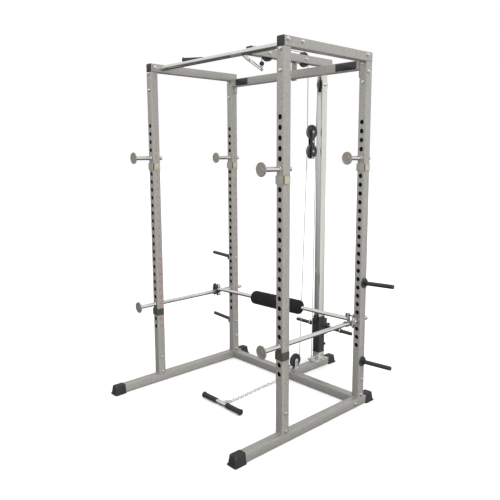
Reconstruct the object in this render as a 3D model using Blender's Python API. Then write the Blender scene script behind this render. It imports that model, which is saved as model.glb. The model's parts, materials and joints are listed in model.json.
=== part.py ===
"""Power cage with a plate-loaded lat tower, hooks, safety bars and a leg roller.

Metres, +Z up. +X is the cage's right, +Y its rear. The origin lies on the floor, in the
middle of the whole footprint. Every square tube is hollow, and every turning or sliding
piece has its origin, or its parent empty, on its own joint axis.
"""
import math

import bpy
from mathutils import Matrix, Vector

# ---------------------------------------------------------------- driving dimensions
TUBE = 0.0508            # side of the square steel tube
WALL = 0.002             # its wall
TOUCH = 0.0003           # gap between pieces that rest on each other
SLIDE = 0.0008           # clearance around a sliding piece
PLATE = 0.005            # welded end plates
WELD_STEP = 0.001        # how far a welded piece stands back from its neighbour's edge

CAGE_WIDTH = 1.160       # between the upright centres, left to right
CAGE_DEPTH = 0.664       # between the upright centres, front to rear
UPRIGHT_LENGTH = 1.986
HOLE_COUNT = 27
HOLE_PITCH = 0.0508
BASE_FRONT = 0.350       # base tube beyond the front uprights
BASE_REAR = 0.114        # base tube beyond the rear uprights
TOWER_SETBACK = 0.307    # tower axis behind the rear uprights
TOWER_BASE_REAR = 0.149  # tower base tube beyond the tower axis
BEAM_DROP = 0.0148       # rear top crossmember's axis below the upright heads
BEAM_PLATE_DROP = 0.070  # its end plates below its axis
CAP_THICK = 0.004        # plastic caps in the front ends of the top side tubes
CAP_TONGUE = 0.018

PAD = 0.003              # rubber below and around a tube end
BOOT_LENGTH = 0.067      # tube length that a foot covers
BOOT_FLARE = 0.012       # how far the foot's toe stands out
BOOT_SIDE = 0.0055       # how far the foot's sole stands out at each side

ROD_RADIUS = 0.0127      # hooks, safety bars and leg roller bar
DISC_RADIUS = 0.036
DISC_THICK = 0.006
HOOK_REACH = 0.131       # disc face in front of the upright
HOOK_STUB = 0.027        # rod behind the upright
SAFETY_STUB = 0.045
HOOK_HOLE = {"front_left": 5, "rear_left": 5, "front_right": 6, "rear_right": 5}
SAFETY_HOLE = 24         # counted from the top
YOKE_THICK = 0.004
YOKE_TOP = -0.031        # yoke band's edges, from the rod axis
YOKE_BOTTOM = -0.074
YOKE_DEPTH = 0.046       # how far a wing reaches along the upright
STRAP_HALF = 0.014       # strap that joins the band to the rod
STRAP_TOP = 0.016

PEG_RADIUS = 0.0125      # plate storage pegs and the carriage's pegs
PEG_LENGTH = 0.200
PEG_TILT = math.radians(3.0)
PEG_FLANGE = 0.030
PEG_HEIGHTS = {"upper": 0.770, "lower": 0.285}

PULLUP_RADIUS = 0.016
PULLUP_INSET = 0.056     # bar axis behind the front upright centres
PULLUP_PLATE = (0.066, 0.022)    # half length and half height of its end plates
ARM_LIFT = 0.018         # lat arm above the top side tubes
ARM_FRONT = 0.302        # arm nose behind the front upright centres
ARM_REAR = 0.072         # arm tail beyond the tower axis

PULLEY_RADIUS = 0.0475
PULLEY_HALF = 0.009
ROPE_RADIUS = 0.0025
ROPE_TOUCH = 0.0007      # cable above a groove's floor, and off what it ends on
GROOVE_DEPTH = 0.0072    # rim to groove floor
AXLE_RADIUS = 0.005
AXLE_PLAY = 0.0006
AXLE_STICK = 0.003       # axle beyond the plates that hold it
SLOT_SIDE = 0.003        # clearance beside and around a pulley in its slot
SLOT_ROUND = 0.006
FLOAT_SPACING = 0.129    # between the two wheels of the floating block
FLOAT_DROP = 0.315       # its upper axle below the tower's top pulley
FLOAT_GAP = 0.0757       # its axles in front of the tower's face
FLOAT_PLATE = 0.016      # half width of its plates
FLOAT_TAIL = 0.048       # plates below the lower axle
TOP_PULLEY_DROP = 0.1446     # tower's top pulley below the lat arm's axis
LOW_PULLEY_GAP = 0.0077  # below the low pulley
LOW_PULLEY_Y = 0.060     # low pulley behind the rear upright centres
GUIDE_RADIUS = 0.015
GUIDE_GROOVE = 0.003
GUIDE_Y = -0.010
GUIDE_RISE = 0.0232      # guide roller's axle above the base tubes
BRACKET_WALL = 0.004     # plates that hold the pulleys
BRACKET_PLAY = 0.002
SHELF_GAP = 0.0017       # arm bracket's shelf in front of the rear pulley's slot
FRONT_PULLEY_INSET = 0.148   # lat front pulley behind the arm's nose

SLEEVE_PLAY = 0.0016     # carriage sleeve around the tower tube
SLEEVE_WALL = 0.003
COLLAR_WALL = 0.0075     # wider collar around the sleeve
CARRIAGE_HEIGHT = 0.262
CARRIAGE_PEG = 0.256     # peg tip from the centre
CARRIAGE_PEG_RISE = 0.176    # pegs above the sleeve's seat
CARRIAGE_HORN = 0.067    # middle peg
COLLAR_BELOW = 0.048     # collar below and above the pegs
COLLAR_ABOVE = 0.068
SADDLE_HEIGHT = 0.0622   # tower's base bracket above the base tubes
SADDLE_WALL = 0.004
ANCHOR_Y = 0.075         # lower cable's anchor in front of the tower's axis
ANCHOR_RISE = 0.031
SPRING_COLLARS = {"left": -0.122, "right": 0.160}
SPRING_COLLAR_HALF = 0.006

ROLLER_RISE = 0.0209     # leg roller's bar above the safety bars
ROLLER_Y = -0.125        # leg roller in front of the rear upright centres
ROLLER_SKEW = math.radians(4.0)
FOAM_RADIUS = 0.046
FOAM_LENGTH = 0.410
CLAMP_PLAY = 0.0022      # clamp plates beside a safety bar
CLAMP_WIDTH = 0.016      # half width of a clamp plate
CLAMP_RIM = 0.012        # plate beyond its bolts
CLAMP_BOLT = 0.004
CLAMP_BOLT_TOP = 0.022   # upper bolt above the roller's bar
CLAMP_BOLT_GAP = 0.0004  # lower bolt below the safety bar
CLAMP_KNOB = 0.012

LAT_BAR_DROP = 0.0196    # bar axis below the lat arm's axis
LAT_BAR_INSET = 0.232    # bar axis behind the front upright centres
LAT_BAR_STRAIGHT = 0.330
LAT_BAR_END = 0.150
LAT_BAR_BEND = math.radians(33.0)
GRIP_PLAY = 0.0006       # rubber grips around a bar
GRIP_WALL = 0.003
GRIP_RIM = 0.0035
STOP_DROP = 0.064        # cable's rubber ball below the lat arm's axis
STOP_RADIUS = 0.0145
HANDLE_Y = 0.042         # row handle behind the front upright centres
HANDLE_X = 0.022
HANDLE_CLEAR = 0.001     # grip rims above the floor
HANDLE_HALF = 0.177
CHAIN_RADIUS = 0.007

# ---------------------------------------------------------------- derived places
HALF = TUBE / 2
BASE_TOP = PAD + TUBE
UPRIGHT_FOOT = BASE_TOP + TOUCH
UPRIGHT_HEAD = UPRIGHT_FOOT + UPRIGHT_LENGTH
HOLE_TOP = UPRIGHT_HEAD - (UPRIGHT_LENGTH - (HOLE_COUNT - 1) * HOLE_PITCH) / 2
SIDE_Z = UPRIGHT_HEAD + TOUCH + TUBE / 2
ARM_Z = SIDE_Z + TUBE + ARM_LIFT
TOE = CAGE_DEPTH / 2 + BASE_FRONT + BOOT_FLARE
HEEL = CAGE_DEPTH / 2 + TOWER_SETBACK + TOWER_BASE_REAR + BOOT_FLARE
HOLE_WIDTH = 2 * (ROD_RADIUS + SLIDE)
BEAM_Z = UPRIGHT_HEAD - BEAM_DROP
CAGE_Y = (TOE - HEEL) / 2
FRONT_Y = CAGE_Y - CAGE_DEPTH / 2
REAR_Y = CAGE_Y + CAGE_DEPTH / 2
TOWER_Y = REAR_Y + TOWER_SETBACK
SIDE_X = CAGE_WIDTH / 2
ARM_NOSE = FRONT_Y + ARM_FRONT
ARM_TAIL = TOWER_Y + ARM_REAR
ROPE_PATH = PULLEY_RADIUS - GROOVE_DEPTH + ROPE_RADIUS + ROPE_TOUCH
GUIDE_PATH = GUIDE_RADIUS - GUIDE_GROOVE + ROPE_RADIUS + ROPE_TOUCH
TOP_PULLEY_HEIGHT = ARM_Z - TOP_PULLEY_DROP
FLOAT_HEIGHT = TOP_PULLEY_HEIGHT - FLOAT_DROP
LOW_PULLEY_HEIGHT = BASE_TOP + LOW_PULLEY_GAP + PULLEY_RADIUS
GUIDE_HEIGHT = BASE_TOP + GUIDE_RISE
FLOAT_Y = TOWER_Y - HALF - FLOAT_GAP
LAT_REAR_Y = FLOAT_Y - 2 * ROPE_PATH
LAT_FRONT_Y = ARM_NOSE + FRONT_PULLEY_INSET
LOW_Y = REAR_Y + LOW_PULLEY_Y
SADDLE_TOP = BASE_TOP + SADDLE_HEIGHT
SLEEVE = TUBE + 2 * (SLEEVE_PLAY + SLEEVE_WALL)
COLLAR = SLEEVE + 2 * COLLAR_WALL
CARRIAGE_PEG_HEIGHT = SADDLE_TOP + CARRIAGE_PEG_RISE
LAT_BAR_HEIGHT = ARM_Z - LAT_BAR_DROP
GRIP_RADIUS = PEG_RADIUS + GRIP_WALL
HANDLE_HEIGHT = GRIP_RADIUS + GRIP_RIM + HANDLE_CLEAR
CORNERS = {
    "front_left": (-SIDE_X, FRONT_Y),
    "rear_left": (-SIDE_X, REAR_Y),
    "front_right": (SIDE_X, FRONT_Y),
    "rear_right": (SIDE_X, REAR_Y),
}

for old in list(bpy.data.objects):
    bpy.data.objects.remove(old, do_unlink=True)


# ---------------------------------------------------------------- materials
def finish(name, color, roughness, metallic):
    """A plain Principled material."""
    mat = bpy.data.materials.new(name)
    mat.use_nodes = True
    shader = mat.node_tree.nodes["Principled BSDF"]
    shader.inputs["Base Color"].default_value = (*color, 1.0)
    shader.inputs["Roughness"].default_value = roughness
    shader.inputs["Metallic"].default_value = metallic
    mat.diffuse_color = (*color, 1.0)
    return mat


PAINT = finish("silver_paint", (0.42, 0.41, 0.38), 0.42, 0.25)
CHROME = finish("chrome", (0.80, 0.79, 0.76), 0.10, 1.0)
RUBBER = finish("black_rubber", (0.02, 0.02, 0.02), 0.75, 0.0)
PLASTIC = finish("black_plastic", (0.03, 0.03, 0.03), 0.50, 0.0)
BLACK = finish("black_paint", (0.025, 0.025, 0.025), 0.40, 0.1)
FOAM = finish("black_foam", (0.03, 0.03, 0.03), 0.90, 0.0)
STEEL = finish("zinc_steel", (0.55, 0.55, 0.54), 0.35, 1.0)
ROPE = finish("steel_cable", (0.50, 0.50, 0.50), 0.40, 0.8)


# ---------------------------------------------------------------- mesh helpers
def mesh_of(verts, faces):
    mesh = bpy.data.meshes.new("shape")
    mesh.from_pydata([tuple(v) for v in verts], [], faces)
    mesh.update()
    return mesh


def block(low, high):
    """A solid box between two corners."""
    (a, b, c), (d, e, f) = low, high
    verts = [(a, b, c), (d, b, c), (d, e, c), (a, e, c), (a, b, f), (d, b, f), (d, e, f), (a, e, f)]
    faces = [(0, 3, 2, 1), (4, 5, 6, 7), (0, 1, 5, 4), (1, 2, 6, 5), (2, 3, 7, 6), (3, 0, 4, 7)]
    return mesh_of(verts, faces)


def frustum(rings):
    """A closed solid through square rings, each (x0, x1, y0, y1, z), from the bottom up."""
    verts = []
    for x0, x1, y0, y1, z in rings:
        verts += [(x0, y0, z), (x1, y0, z), (x1, y1, z), (x0, y1, z)]
    faces = [(3, 2, 1, 0)]
    for level in range(len(rings) - 1):
        base = level * 4
        for k in range(4):
            faces.append((base + k, base + (k + 1) % 4, base + 4 + (k + 1) % 4, base + 4 + k))
    top = (len(rings) - 1) * 4
    faces.append((top, top + 1, top + 2, top + 3))
    return mesh_of(verts, faces)


def frame_to(direction):
    """Rotation that takes +Z to a direction."""
    return Vector(direction).to_track_quat("Z", "Y").to_matrix().to_4x4()


def lathe(profile, sides, centre, direction, ring=False):
    """Turn a profile of (radius, height) about an axis; a ring profile closes on itself."""
    verts = []
    for radius, height in profile:
        for k in range(sides):
            turn = 2 * math.pi * (k + 0.5) / sides
            verts.append(Vector((radius * math.cos(turn), radius * math.sin(turn), height)))
    faces = []
    rows = len(profile)
    for row in range(rows if ring else rows - 1):
        a = row * sides
        b = ((row + 1) % rows) * sides
        for k in range(sides):
            faces.append((a + k, a + (k + 1) % sides, b + (k + 1) % sides, b + k))
    if not ring:
        faces.append(tuple(range(sides - 1, -1, -1)))
        faces.append(tuple((rows - 1) * sides + k for k in range(sides)))
    mesh = mesh_of(verts, faces)
    mesh.transform(Matrix.Translation(centre) @ frame_to(direction))
    return mesh


def rod(start, end, radius, sides=12):
    """A solid round bar between two points."""
    start = Vector(start)
    span = Vector(end) - start
    return lathe([(radius, 0.0), (radius, span.length)], sides, start, span)


def sleeve(start, end, inner, outer, sides=16):
    """A round tube between two points."""
    start = Vector(start)
    span = Vector(end) - start
    profile = [(outer, 0.0), (outer, span.length), (inner, span.length), (inner, 0.0)]
    return lathe(profile, sides, start, span, ring=True)


def square_tube(start, end, axis, size=TUBE, wall=WALL):
    """An open-ended square tube along X, Y or Z between two axis points."""
    along = "XYZ".index(axis)
    others = [k for k in range(3) if k != along]
    verts = []
    for point in (start, end):
        for half in (size / 2, size / 2 - wall):
            for sa, sb in ((-1, -1), (1, -1), (1, 1), (-1, 1)):
                place = list(point)
                place[others[0]] += sa * half
                place[others[1]] += sb * half
                verts.append(place)
    faces = []
    for k in range(4):
        n = (k + 1) % 4
        faces.append((k, n, 8 + n, 8 + k))
        faces.append((4 + n, 4 + k, 12 + k, 12 + n))
        faces.append((n, k, 4 + k, 4 + n))
        faces.append((8 + k, 8 + n, 12 + n, 12 + k))
    if axis == "Y":
        faces = [tuple(reversed(face)) for face in faces]
    return mesh_of(verts, faces)


def combine(base, joins=(), cuts=()):
    """Union and cut closed meshes with exact Booleans, and return one plain mesh."""
    scene = bpy.context.scene.collection
    body = bpy.data.objects.new("body", base)
    scene.objects.link(body)
    tools = []
    for mesh, operation in [(m, "UNION") for m in joins] + [(m, "DIFFERENCE") for m in cuts]:
        tool = bpy.data.objects.new("tool", mesh)
        scene.objects.link(tool)
        tools.append(tool)
        modifier = body.modifiers.new("combine", "BOOLEAN")
        modifier.operation = operation
        modifier.solver = "EXACT"
        modifier.object = tool
    shape = bpy.data.meshes.new_from_object(body.evaluated_get(bpy.context.evaluated_depsgraph_get()))
    for tool in tools + [body]:
        bpy.data.objects.remove(tool, do_unlink=True)
    return shape


def group(name, origin):
    """An empty that carries the pieces of one moving body."""
    empty = bpy.data.objects.new(name, None)
    empty.location = origin
    empty.empty_display_size = 0.05
    bpy.context.scene.collection.objects.link(empty)
    return empty


def node(name, mesh, material, origin=(0, 0, 0), parent=None):
    """One named sub-part. Its mesh comes in world coordinates and is re-centred on its origin."""
    mesh.transform(Matrix.Translation(-Vector(origin)))
    mesh.name = name
    mesh.materials.clear()
    mesh.materials.append(material)
    mesh.shade_smooth()
    mesh.set_sharp_from_angle(angle=math.radians(35))
    piece = bpy.data.objects.new(name, mesh)
    piece.location = Vector(origin) - (parent.location if parent else Vector())
    piece.parent = parent
    bpy.context.scene.collection.objects.link(piece)
    return piece


def cable(name, points, radius, material, cyclic=False, parent=None):
    """A round cable or ring through points, as a curve with a bevel."""
    origin = parent.location if parent else Vector()
    curve = bpy.data.curves.new(name, "CURVE")
    curve.dimensions = "3D"
    curve.bevel_depth = radius
    curve.bevel_resolution = 2
    curve.use_fill_caps = True
    spline = curve.splines.new("POLY")
    spline.points.add(len(points) - 1)
    for slot, point in zip(spline.points, points):
        slot.co = (*(Vector(point) - origin), 1.0)
    spline.use_cyclic_u = cyclic
    curve.materials.append(material)
    piece = bpy.data.objects.new(name, curve)
    piece.parent = parent
    bpy.context.scene.collection.objects.link(piece)
    return piece


def belt(stops, step=math.radians(15)):
    """Points of a cable in the Y-Z plane round circles (y, z, radius, turn); radius 0 is an end.

    turn is +1 where the cable goes round anticlockwise, seen with +Y to the right.
    """
    joints = []
    for (ya, za, ra, ta), (yb, zb, rb, tb) in zip(stops, stops[1:]):
        span = math.hypot(yb - ya, zb - za)
        heading = math.atan2(zb - za, yb - ya) - math.asin((tb * rb - ta * ra) / span)
        ny, nz = -math.sin(heading), math.cos(heading)
        joints.append(((ya - ta * ra * ny, za - ta * ra * nz), (yb - tb * rb * ny, zb - tb * rb * nz)))
    points = [joints[0][0]]
    for index in range(1, len(stops) - 1):
        y, z, radius, turn = stops[index]
        first, last = joints[index - 1][1], joints[index][0]
        begin = math.atan2(first[1] - z, first[0] - y)
        sweep = (math.atan2(last[1] - z, last[0] - y) - begin) * turn % (2 * math.pi)
        count = max(2, math.ceil(sweep / step))
        for k in range(count + 1):
            angle = begin + turn * sweep * k / count
            points.append((y + radius * math.cos(angle), z + radius * math.sin(angle)))
    points.append(joints[-1][1])
    return [(0.0, y, z) for y, z in points]


def ring_points(first, last, half_width, bends=5):
    """A long ring whose two end bends pass through two points, lying along X at the bends."""
    first, last = Vector(first), Vector(last)
    along = (last - first).normalized()
    side = Vector((1, 0, 0))
    points = []
    for centre, facing in ((first + along * half_width, -1), (last - along * half_width, 1)):
        for k in range(bends + 1):
            angle = math.pi * k / bends
            points.append(centre + facing * (along * math.sin(angle) - side * math.cos(angle)) * half_width)
    return points


# ---------------------------------------------------------------- frame
def base_frame():
    for side, x in (("left", -SIDE_X), ("right", SIDE_X)):
        z = PAD + HALF
        start = (x, FRONT_Y - BASE_FRONT, z)
        end = (x, REAR_Y + BASE_REAR, z)
        node(f"base_tube_{side}", square_tube(start, end, "Y"), PAINT)
    reach = SIDE_X - HALF - TOUCH
    z = PAD + HALF
    node("rear_base_crossmember", square_tube((-reach, REAR_Y, z), (reach, REAR_Y, z), "X"), PAINT)
    start = (0, REAR_Y + HALF + TOUCH, z)
    node("tower_base_tube", square_tube(start, (0, TOWER_Y + TOWER_BASE_REAR, z), "Y"), PAINT)


def boot(name, x, end_y, outward):
    """A flared rubber foot over a tube end. outward is -1 at the front, +1 at the rear."""
    cover = HALF + TOUCH + PAD
    heel = end_y - outward * BOOT_LENGTH

    def level(side, toe, z):
        y0, y1 = sorted((heel, end_y + outward * toe))
        return (x - cover - side, x + cover + side, y0, y1, z)

    top = PAD + TUBE + TOUCH + PAD
    shell = frustum([
        level(BOOT_SIDE, BOOT_FLARE, 0.0),
        level(BOOT_SIDE, BOOT_FLARE, 0.008),
        level(0.0, 0.004, top - 0.006),
        level(-0.003, 0.001, top),
    ])
    room = HALF + TOUCH
    y0, y1 = sorted((heel - outward * 0.02, end_y + outward * TOUCH))
    pocket = block((x - room, y0, PAD - TOUCH), (x + room, y1, PAD + TUBE + TOUCH))
    node(name, combine(shell, cuts=[pocket]), RUBBER)


def feet():
    for side, x in (("left", -SIDE_X), ("right", SIDE_X)):
        boot(f"foot_front_{side}", x, FRONT_Y - BASE_FRONT, -1)
        boot(f"foot_rear_{side}", x, REAR_Y + BASE_REAR, 1)
    boot("foot_tower", 0.0, TOWER_Y + TOWER_BASE_REAR, 1)


def hole_z(number):
    return HOLE_TOP - (number - 1) * HOLE_PITCH


def uprights():
    """Hollow posts with a row of adjusting holes through the front and rear walls."""
    reach = HALF + 0.01
    size = HOLE_WIDTH / 2 / math.cos(math.pi / 8)
    for corner, (x, y) in CORNERS.items():
        post = square_tube((x, y, UPRIGHT_FOOT), (x, y, UPRIGHT_HEAD), "Z")
        verts = []
        faces = []
        for number in range(1, HOLE_COUNT + 1):
            cutter = rod((x, y - reach, hole_z(number)), (x, y + reach, hole_z(number)), size, 8)
            base = len(verts)
            verts += [v.co.copy() for v in cutter.vertices]
            faces += [tuple(base + k for k in face.vertices) for face in cutter.polygons]
        node(f"upright_{corner}", combine(post, cuts=[mesh_of(verts, faces)]), PAINT)


def side_tubes():
    """Capped tubes along the top of each side."""
    plug = HALF - WALL - TOUCH
    front = FRONT_Y - HALF + CAP_THICK
    rear = REAR_Y + HALF - CAP_THICK
    for side, x in (("left", -SIDE_X), ("right", SIDE_X)):
        tube = square_tube((x, front, SIDE_Z), (x, rear, SIDE_Z), "Y")
        node(f"top_side_tube_{side}", tube, PAINT)
        head = block(
            (x - HALF, front - CAP_THICK, SIDE_Z - HALF),
            (x + HALF, front - TOUCH, SIDE_Z + HALF),
        )
        tongue = block(
            (x - plug, front - CAP_THICK / 2, SIDE_Z - plug),
            (x + plug, front + CAP_TONGUE, SIDE_Z + plug),
        )
        node(f"top_cap_{side}", combine(head, [tongue]), PLASTIC)


def end_plates(y, half_y, bottom, top):
    """A plate against each side of the cage's inside, for a bar that runs across it."""
    reach = SIDE_X - HALF - TOUCH
    plates = []
    for sign in (-1, 1):
        low, high = sorted((sign * reach, sign * (reach - PLATE)))
        plates.append(block((low, y - half_y, bottom), (high, y + half_y, top)))
    return plates


def top_crossbars():
    """Rear crossmember and pull-up bar, both welded between end plates."""
    reach = SIDE_X - HALF - TOUCH - PLATE / 2 + 0.0005
    beam = square_tube((-reach, REAR_Y, BEAM_Z), (reach, REAR_Y, BEAM_Z), "X")
    edge = HALF - WELD_STEP
    plates = end_plates(REAR_Y, edge, BEAM_Z - BEAM_PLATE_DROP, BEAM_Z + edge)
    bore = HALF - WALL - 0.0002
    hollow = block((-SIDE_X, REAR_Y - bore, BEAM_Z - bore), (SIDE_X, REAR_Y + bore, BEAM_Z + bore))
    node("rear_top_crossmember", combine(beam, plates, [hollow]), PAINT)

    bar_y = FRONT_Y + PULLUP_INSET
    bar = rod((-reach, bar_y, SIDE_Z), (reach, bar_y, SIDE_Z), PULLUP_RADIUS, 16)
    length, height = PULLUP_PLATE
    plates = end_plates(bar_y, length, SIDE_Z - height, SIDE_Z + height)
    node("pullup_bar", combine(bar, plates), CHROME)


def slot_cut(y, z, across, along_z):
    """A cutter that opens two opposite walls for a pulley to stand through."""
    half = PULLEY_HALF + SLOT_SIDE
    long = PULLEY_RADIUS + SLOT_ROUND
    if along_z:
        return block((-half, y - across, z - long), (half, y + across, z + long))
    return block((-half, y - long, z - across), (half, y + long, z + across))


def axle(y, z, half):
    return rod((-half, y, z), (half, y, z), AXLE_RADIUS, 10)


def lat_arm_and_tower():
    arm = square_tube((0, ARM_NOSE, ARM_Z), (0, ARM_TAIL, ARM_Z), "Y")
    pins = [axle(y, ARM_Z, HALF + 0.004) for y in (LAT_FRONT_Y, LAT_REAR_Y)]
    cuts = [slot_cut(y, ARM_Z, HALF + 0.01, False) for y in (LAT_FRONT_Y, LAT_REAR_Y)]
    node("lat_arm", combine(combine(arm, cuts=cuts), pins), PAINT)

    tower = square_tube((0, TOWER_Y, UPRIGHT_FOOT), (0, TOWER_Y, ARM_Z - HALF - TOUCH), "Z")
    opened = combine(tower, cuts=[slot_cut(TOWER_Y, TOP_PULLEY_HEIGHT, HALF + 0.01, True)])
    node("tower_tube", combine(opened, [axle(TOWER_Y, TOP_PULLEY_HEIGHT, HALF + 0.004)]), CHROME)


def arm_bracket():
    """Angle bracket on the rear crossmember that carries the lat arm."""
    face = REAR_Y + HALF + TOUCH
    arm_bottom = ARM_Z - HALF
    shelf_end = LAT_REAR_Y - PULLEY_RADIUS - SLOT_ROUND - SHELF_GAP
    rib_end = face + 0.74 * (shelf_end - face)
    post = block((-0.021, face, BEAM_Z - 0.032), (0.021, face + 0.006, arm_bottom - TOUCH))
    shelf_top = arm_bottom - TOUCH - 0.0002
    shelf = block((-0.0205, face + 0.001, arm_bottom - 0.006), (0.0205, shelf_end, shelf_top))
    rib = block((-0.003, face + 0.0015, BEAM_Z - 0.020), (0.003, rib_end, arm_bottom - 0.003))
    node("arm_bracket", combine(post, [shelf, rib]), PAINT)


def tower_saddle():
    """Bracket that holds the tower's foot, with the lug that anchors the lower cable."""
    room = HALF + TOUCH + 0.0002
    outer = room + SADDLE_WALL
    floor = UPRIGHT_FOOT
    flange = block((-0.042, TOWER_Y - 0.070, floor), (0.042, TOWER_Y + 0.052, floor + 0.005))
    box = block((-outer, TOWER_Y - outer, floor + 0.001), (outer, TOWER_Y + outer, SADDLE_TOP))
    lug = block(
        (-0.006, TOWER_Y - ANCHOR_Y - 0.009, floor + 0.002),
        (0.006, TOWER_Y - outer + 0.002, floor + ANCHOR_RISE),
    )
    bore = block((-room, TOWER_Y - room, floor - 0.01), (room, TOWER_Y + room, SADDLE_TOP + 0.01))
    node("tower_base_bracket", combine(flange, [box, lug], [bore]), PAINT)


def low_pulley_bracket():
    inner = PULLEY_HALF + BRACKET_PLAY
    outer = inner + BRACKET_WALL
    floor = UPRIGHT_FOOT
    guide_y = REAR_Y + GUIDE_Y
    sole = block((-0.022, guide_y - 0.012, floor), (0.022, LOW_Y + 0.022, floor + 0.004))
    parts = []
    for low, high in ((-outer, -inner), (inner, outer)):
        parts.append(block(
            (low, LOW_Y - 0.015, floor + 0.002),
            (high, LOW_Y + 0.015, LOW_PULLEY_HEIGHT + 0.012),
        ))
        parts.append(block(
            (low + 0.0002, guide_y - 0.010, floor + 0.0021),
            (high - 0.0002, LOW_Y, GUIDE_HEIGHT + 0.008),
        ))
    parts.append(axle(LOW_Y, LOW_PULLEY_HEIGHT, outer + AXLE_STICK))
    parts.append(axle(guide_y, GUIDE_HEIGHT, outer + AXLE_STICK))
    node("low_pulley_bracket", combine(sole, parts), STEEL)


def plate_pegs():
    """Storage pegs on the outer faces of the rear uprights, tilted up a little."""
    for side, sign in (("left", -1), ("right", 1)):
        for level, z in PEG_HEIGHTS.items():
            x = sign * (SIDE_X + HALF + TOUCH)
            flange = rod((x, REAR_Y, z), (x + sign * 0.008, REAR_Y, z), PEG_FLANGE, 16)
            root = Vector((x + sign * 0.004, REAR_Y, z))
            lean = Vector((sign * math.cos(PEG_TILT), 0, math.sin(PEG_TILT)))
            peg = rod(root, root + lean * PEG_LENGTH, PEG_RADIUS, 12)
            node(f"plate_peg_{side}_{level}", combine(flange, [peg]), BLACK)


# ---------------------------------------------------------------- hooks and safety bars
def yoked_rod(x, face_y, z, tail_y):
    """A rod with a front disc, and a yoke that hugs the upright below the rod."""
    grip = HALF + 0.0005
    plate_y = face_y - TOUCH
    outer = grip + YOKE_THICK
    front = plate_y - YOKE_THICK
    band = block((x - outer, front, z + YOKE_BOTTOM), (x + outer, face_y + YOKE_DEPTH, z + YOKE_TOP))
    channel = block((x - grip, plate_y, z - 0.2), (x + grip, face_y + 0.2, z + 0.2))
    strap_low = z + YOKE_TOP - 0.006
    strap = block(
        (x - STRAP_HALF, front + 0.0002, strap_low),
        (x + STRAP_HALF, plate_y - 0.0001, z + STRAP_TOP),
    )
    disc_y = face_y - HOOK_REACH
    bar = rod((x, disc_y + DISC_THICK / 2, z), (x, tail_y, z), ROD_RADIUS)
    disc = rod((x, disc_y, z), (x, disc_y + DISC_THICK, z), DISC_RADIUS, 20)
    return combine(combine(band, cuts=[channel]), [strap, bar, disc])


def hooks():
    for corner, (x, y) in CORNERS.items():
        z = hole_z(HOOK_HOLE[corner])
        shape = yoked_rod(x, y - HALF, z, y + HALF + HOOK_STUB)
        node(f"j_hook_{corner}", shape, CHROME, (x, y - HALF, z))


def safety_bars():
    for side, x in (("left", -SIDE_X), ("right", SIDE_X)):
        z = hole_z(SAFETY_HOLE)
        shape = yoked_rod(x, FRONT_Y - HALF, z, REAR_Y + HALF + SAFETY_STUB)
        node(f"safety_bar_{side}", shape, CHROME, (x, FRONT_Y - HALF, z))


# ---------------------------------------------------------------- leg roller
def leg_roller():
    """A padded bar clamped across the two safety bars, set a little askew."""
    centre = Vector((0, REAR_Y + ROLLER_Y, hole_z(SAFETY_HOLE) + ROLLER_RISE))
    reach = SIDE_X / math.cos(ROLLER_SKEW)
    turn = Matrix.Translation(centre) @ Matrix.Rotation(ROLLER_SKEW, 4, "Z")
    room = ROD_RADIUS + CLAMP_PLAY
    bolt_low = -ROLLER_RISE - ROD_RADIUS - CLAMP_BOLT_GAP - CLAMP_BOLT
    bar = rod((-reach + room + 0.002, 0, 0), (reach - room - 0.002, 0, 0), ROD_RADIUS)
    parts = []
    for sign in (-1, 1):
        for near, far in ((-room - PLATE, -room), (room, room + PLATE)):
            x0, x1 = sorted((sign * (reach + near), sign * (reach + far)))
            parts.append(block(
                (x0, -CLAMP_WIDTH, bolt_low - CLAMP_RIM),
                (x1, CLAMP_WIDTH, CLAMP_BOLT_TOP + CLAMP_RIM),
            ))
        inside = reach - room - 0.016
        outside = reach + room + 0.007
        for z in (bolt_low, CLAMP_BOLT_TOP):
            parts.append(rod((sign * inside, 0, z), (sign * outside, 0, z), CLAMP_BOLT, 8))
            knob_ends = [(sign * (inside + step), 0, z) for step in (-0.004, 0.005)]
            parts.append(rod(*knob_ends, CLAMP_KNOB, 12))
    shape = combine(bar, parts)
    shape.transform(turn)
    carrier = group("leg_roller_origin", centre)
    node("leg_roller_frame", shape, CHROME, centre, carrier)
    foam = sleeve((-FOAM_LENGTH / 2, 0, 0), (FOAM_LENGTH / 2, 0, 0), ROD_RADIUS + 0.0012, FOAM_RADIUS, 20)
    foam.transform(turn)
    node("foam_roller", foam, FOAM, centre, carrier)


# ---------------------------------------------------------------- pulleys and cables
def pulley(name, y, z, parent=None, radius=PULLEY_RADIUS, half=PULLEY_HALF, groove=GROOVE_DEPTH):
    bore = AXLE_RADIUS / math.cos(math.pi / 10) + AXLE_PLAY
    lip = half - 0.0015
    profile = [
        (bore, -half),
        (radius, -half),
        (radius, -lip),
        (radius - groove, -ROPE_RADIUS - 0.0008),
        (radius - groove, ROPE_RADIUS + 0.0008),
        (radius, lip),
        (radius, half),
        (bore, half),
    ]
    wheel = lathe(profile, 18, (0, y, z), (1, 0, 0), ring=True)
    node(name, wheel, PLASTIC, (0, y, z), parent)


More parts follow.
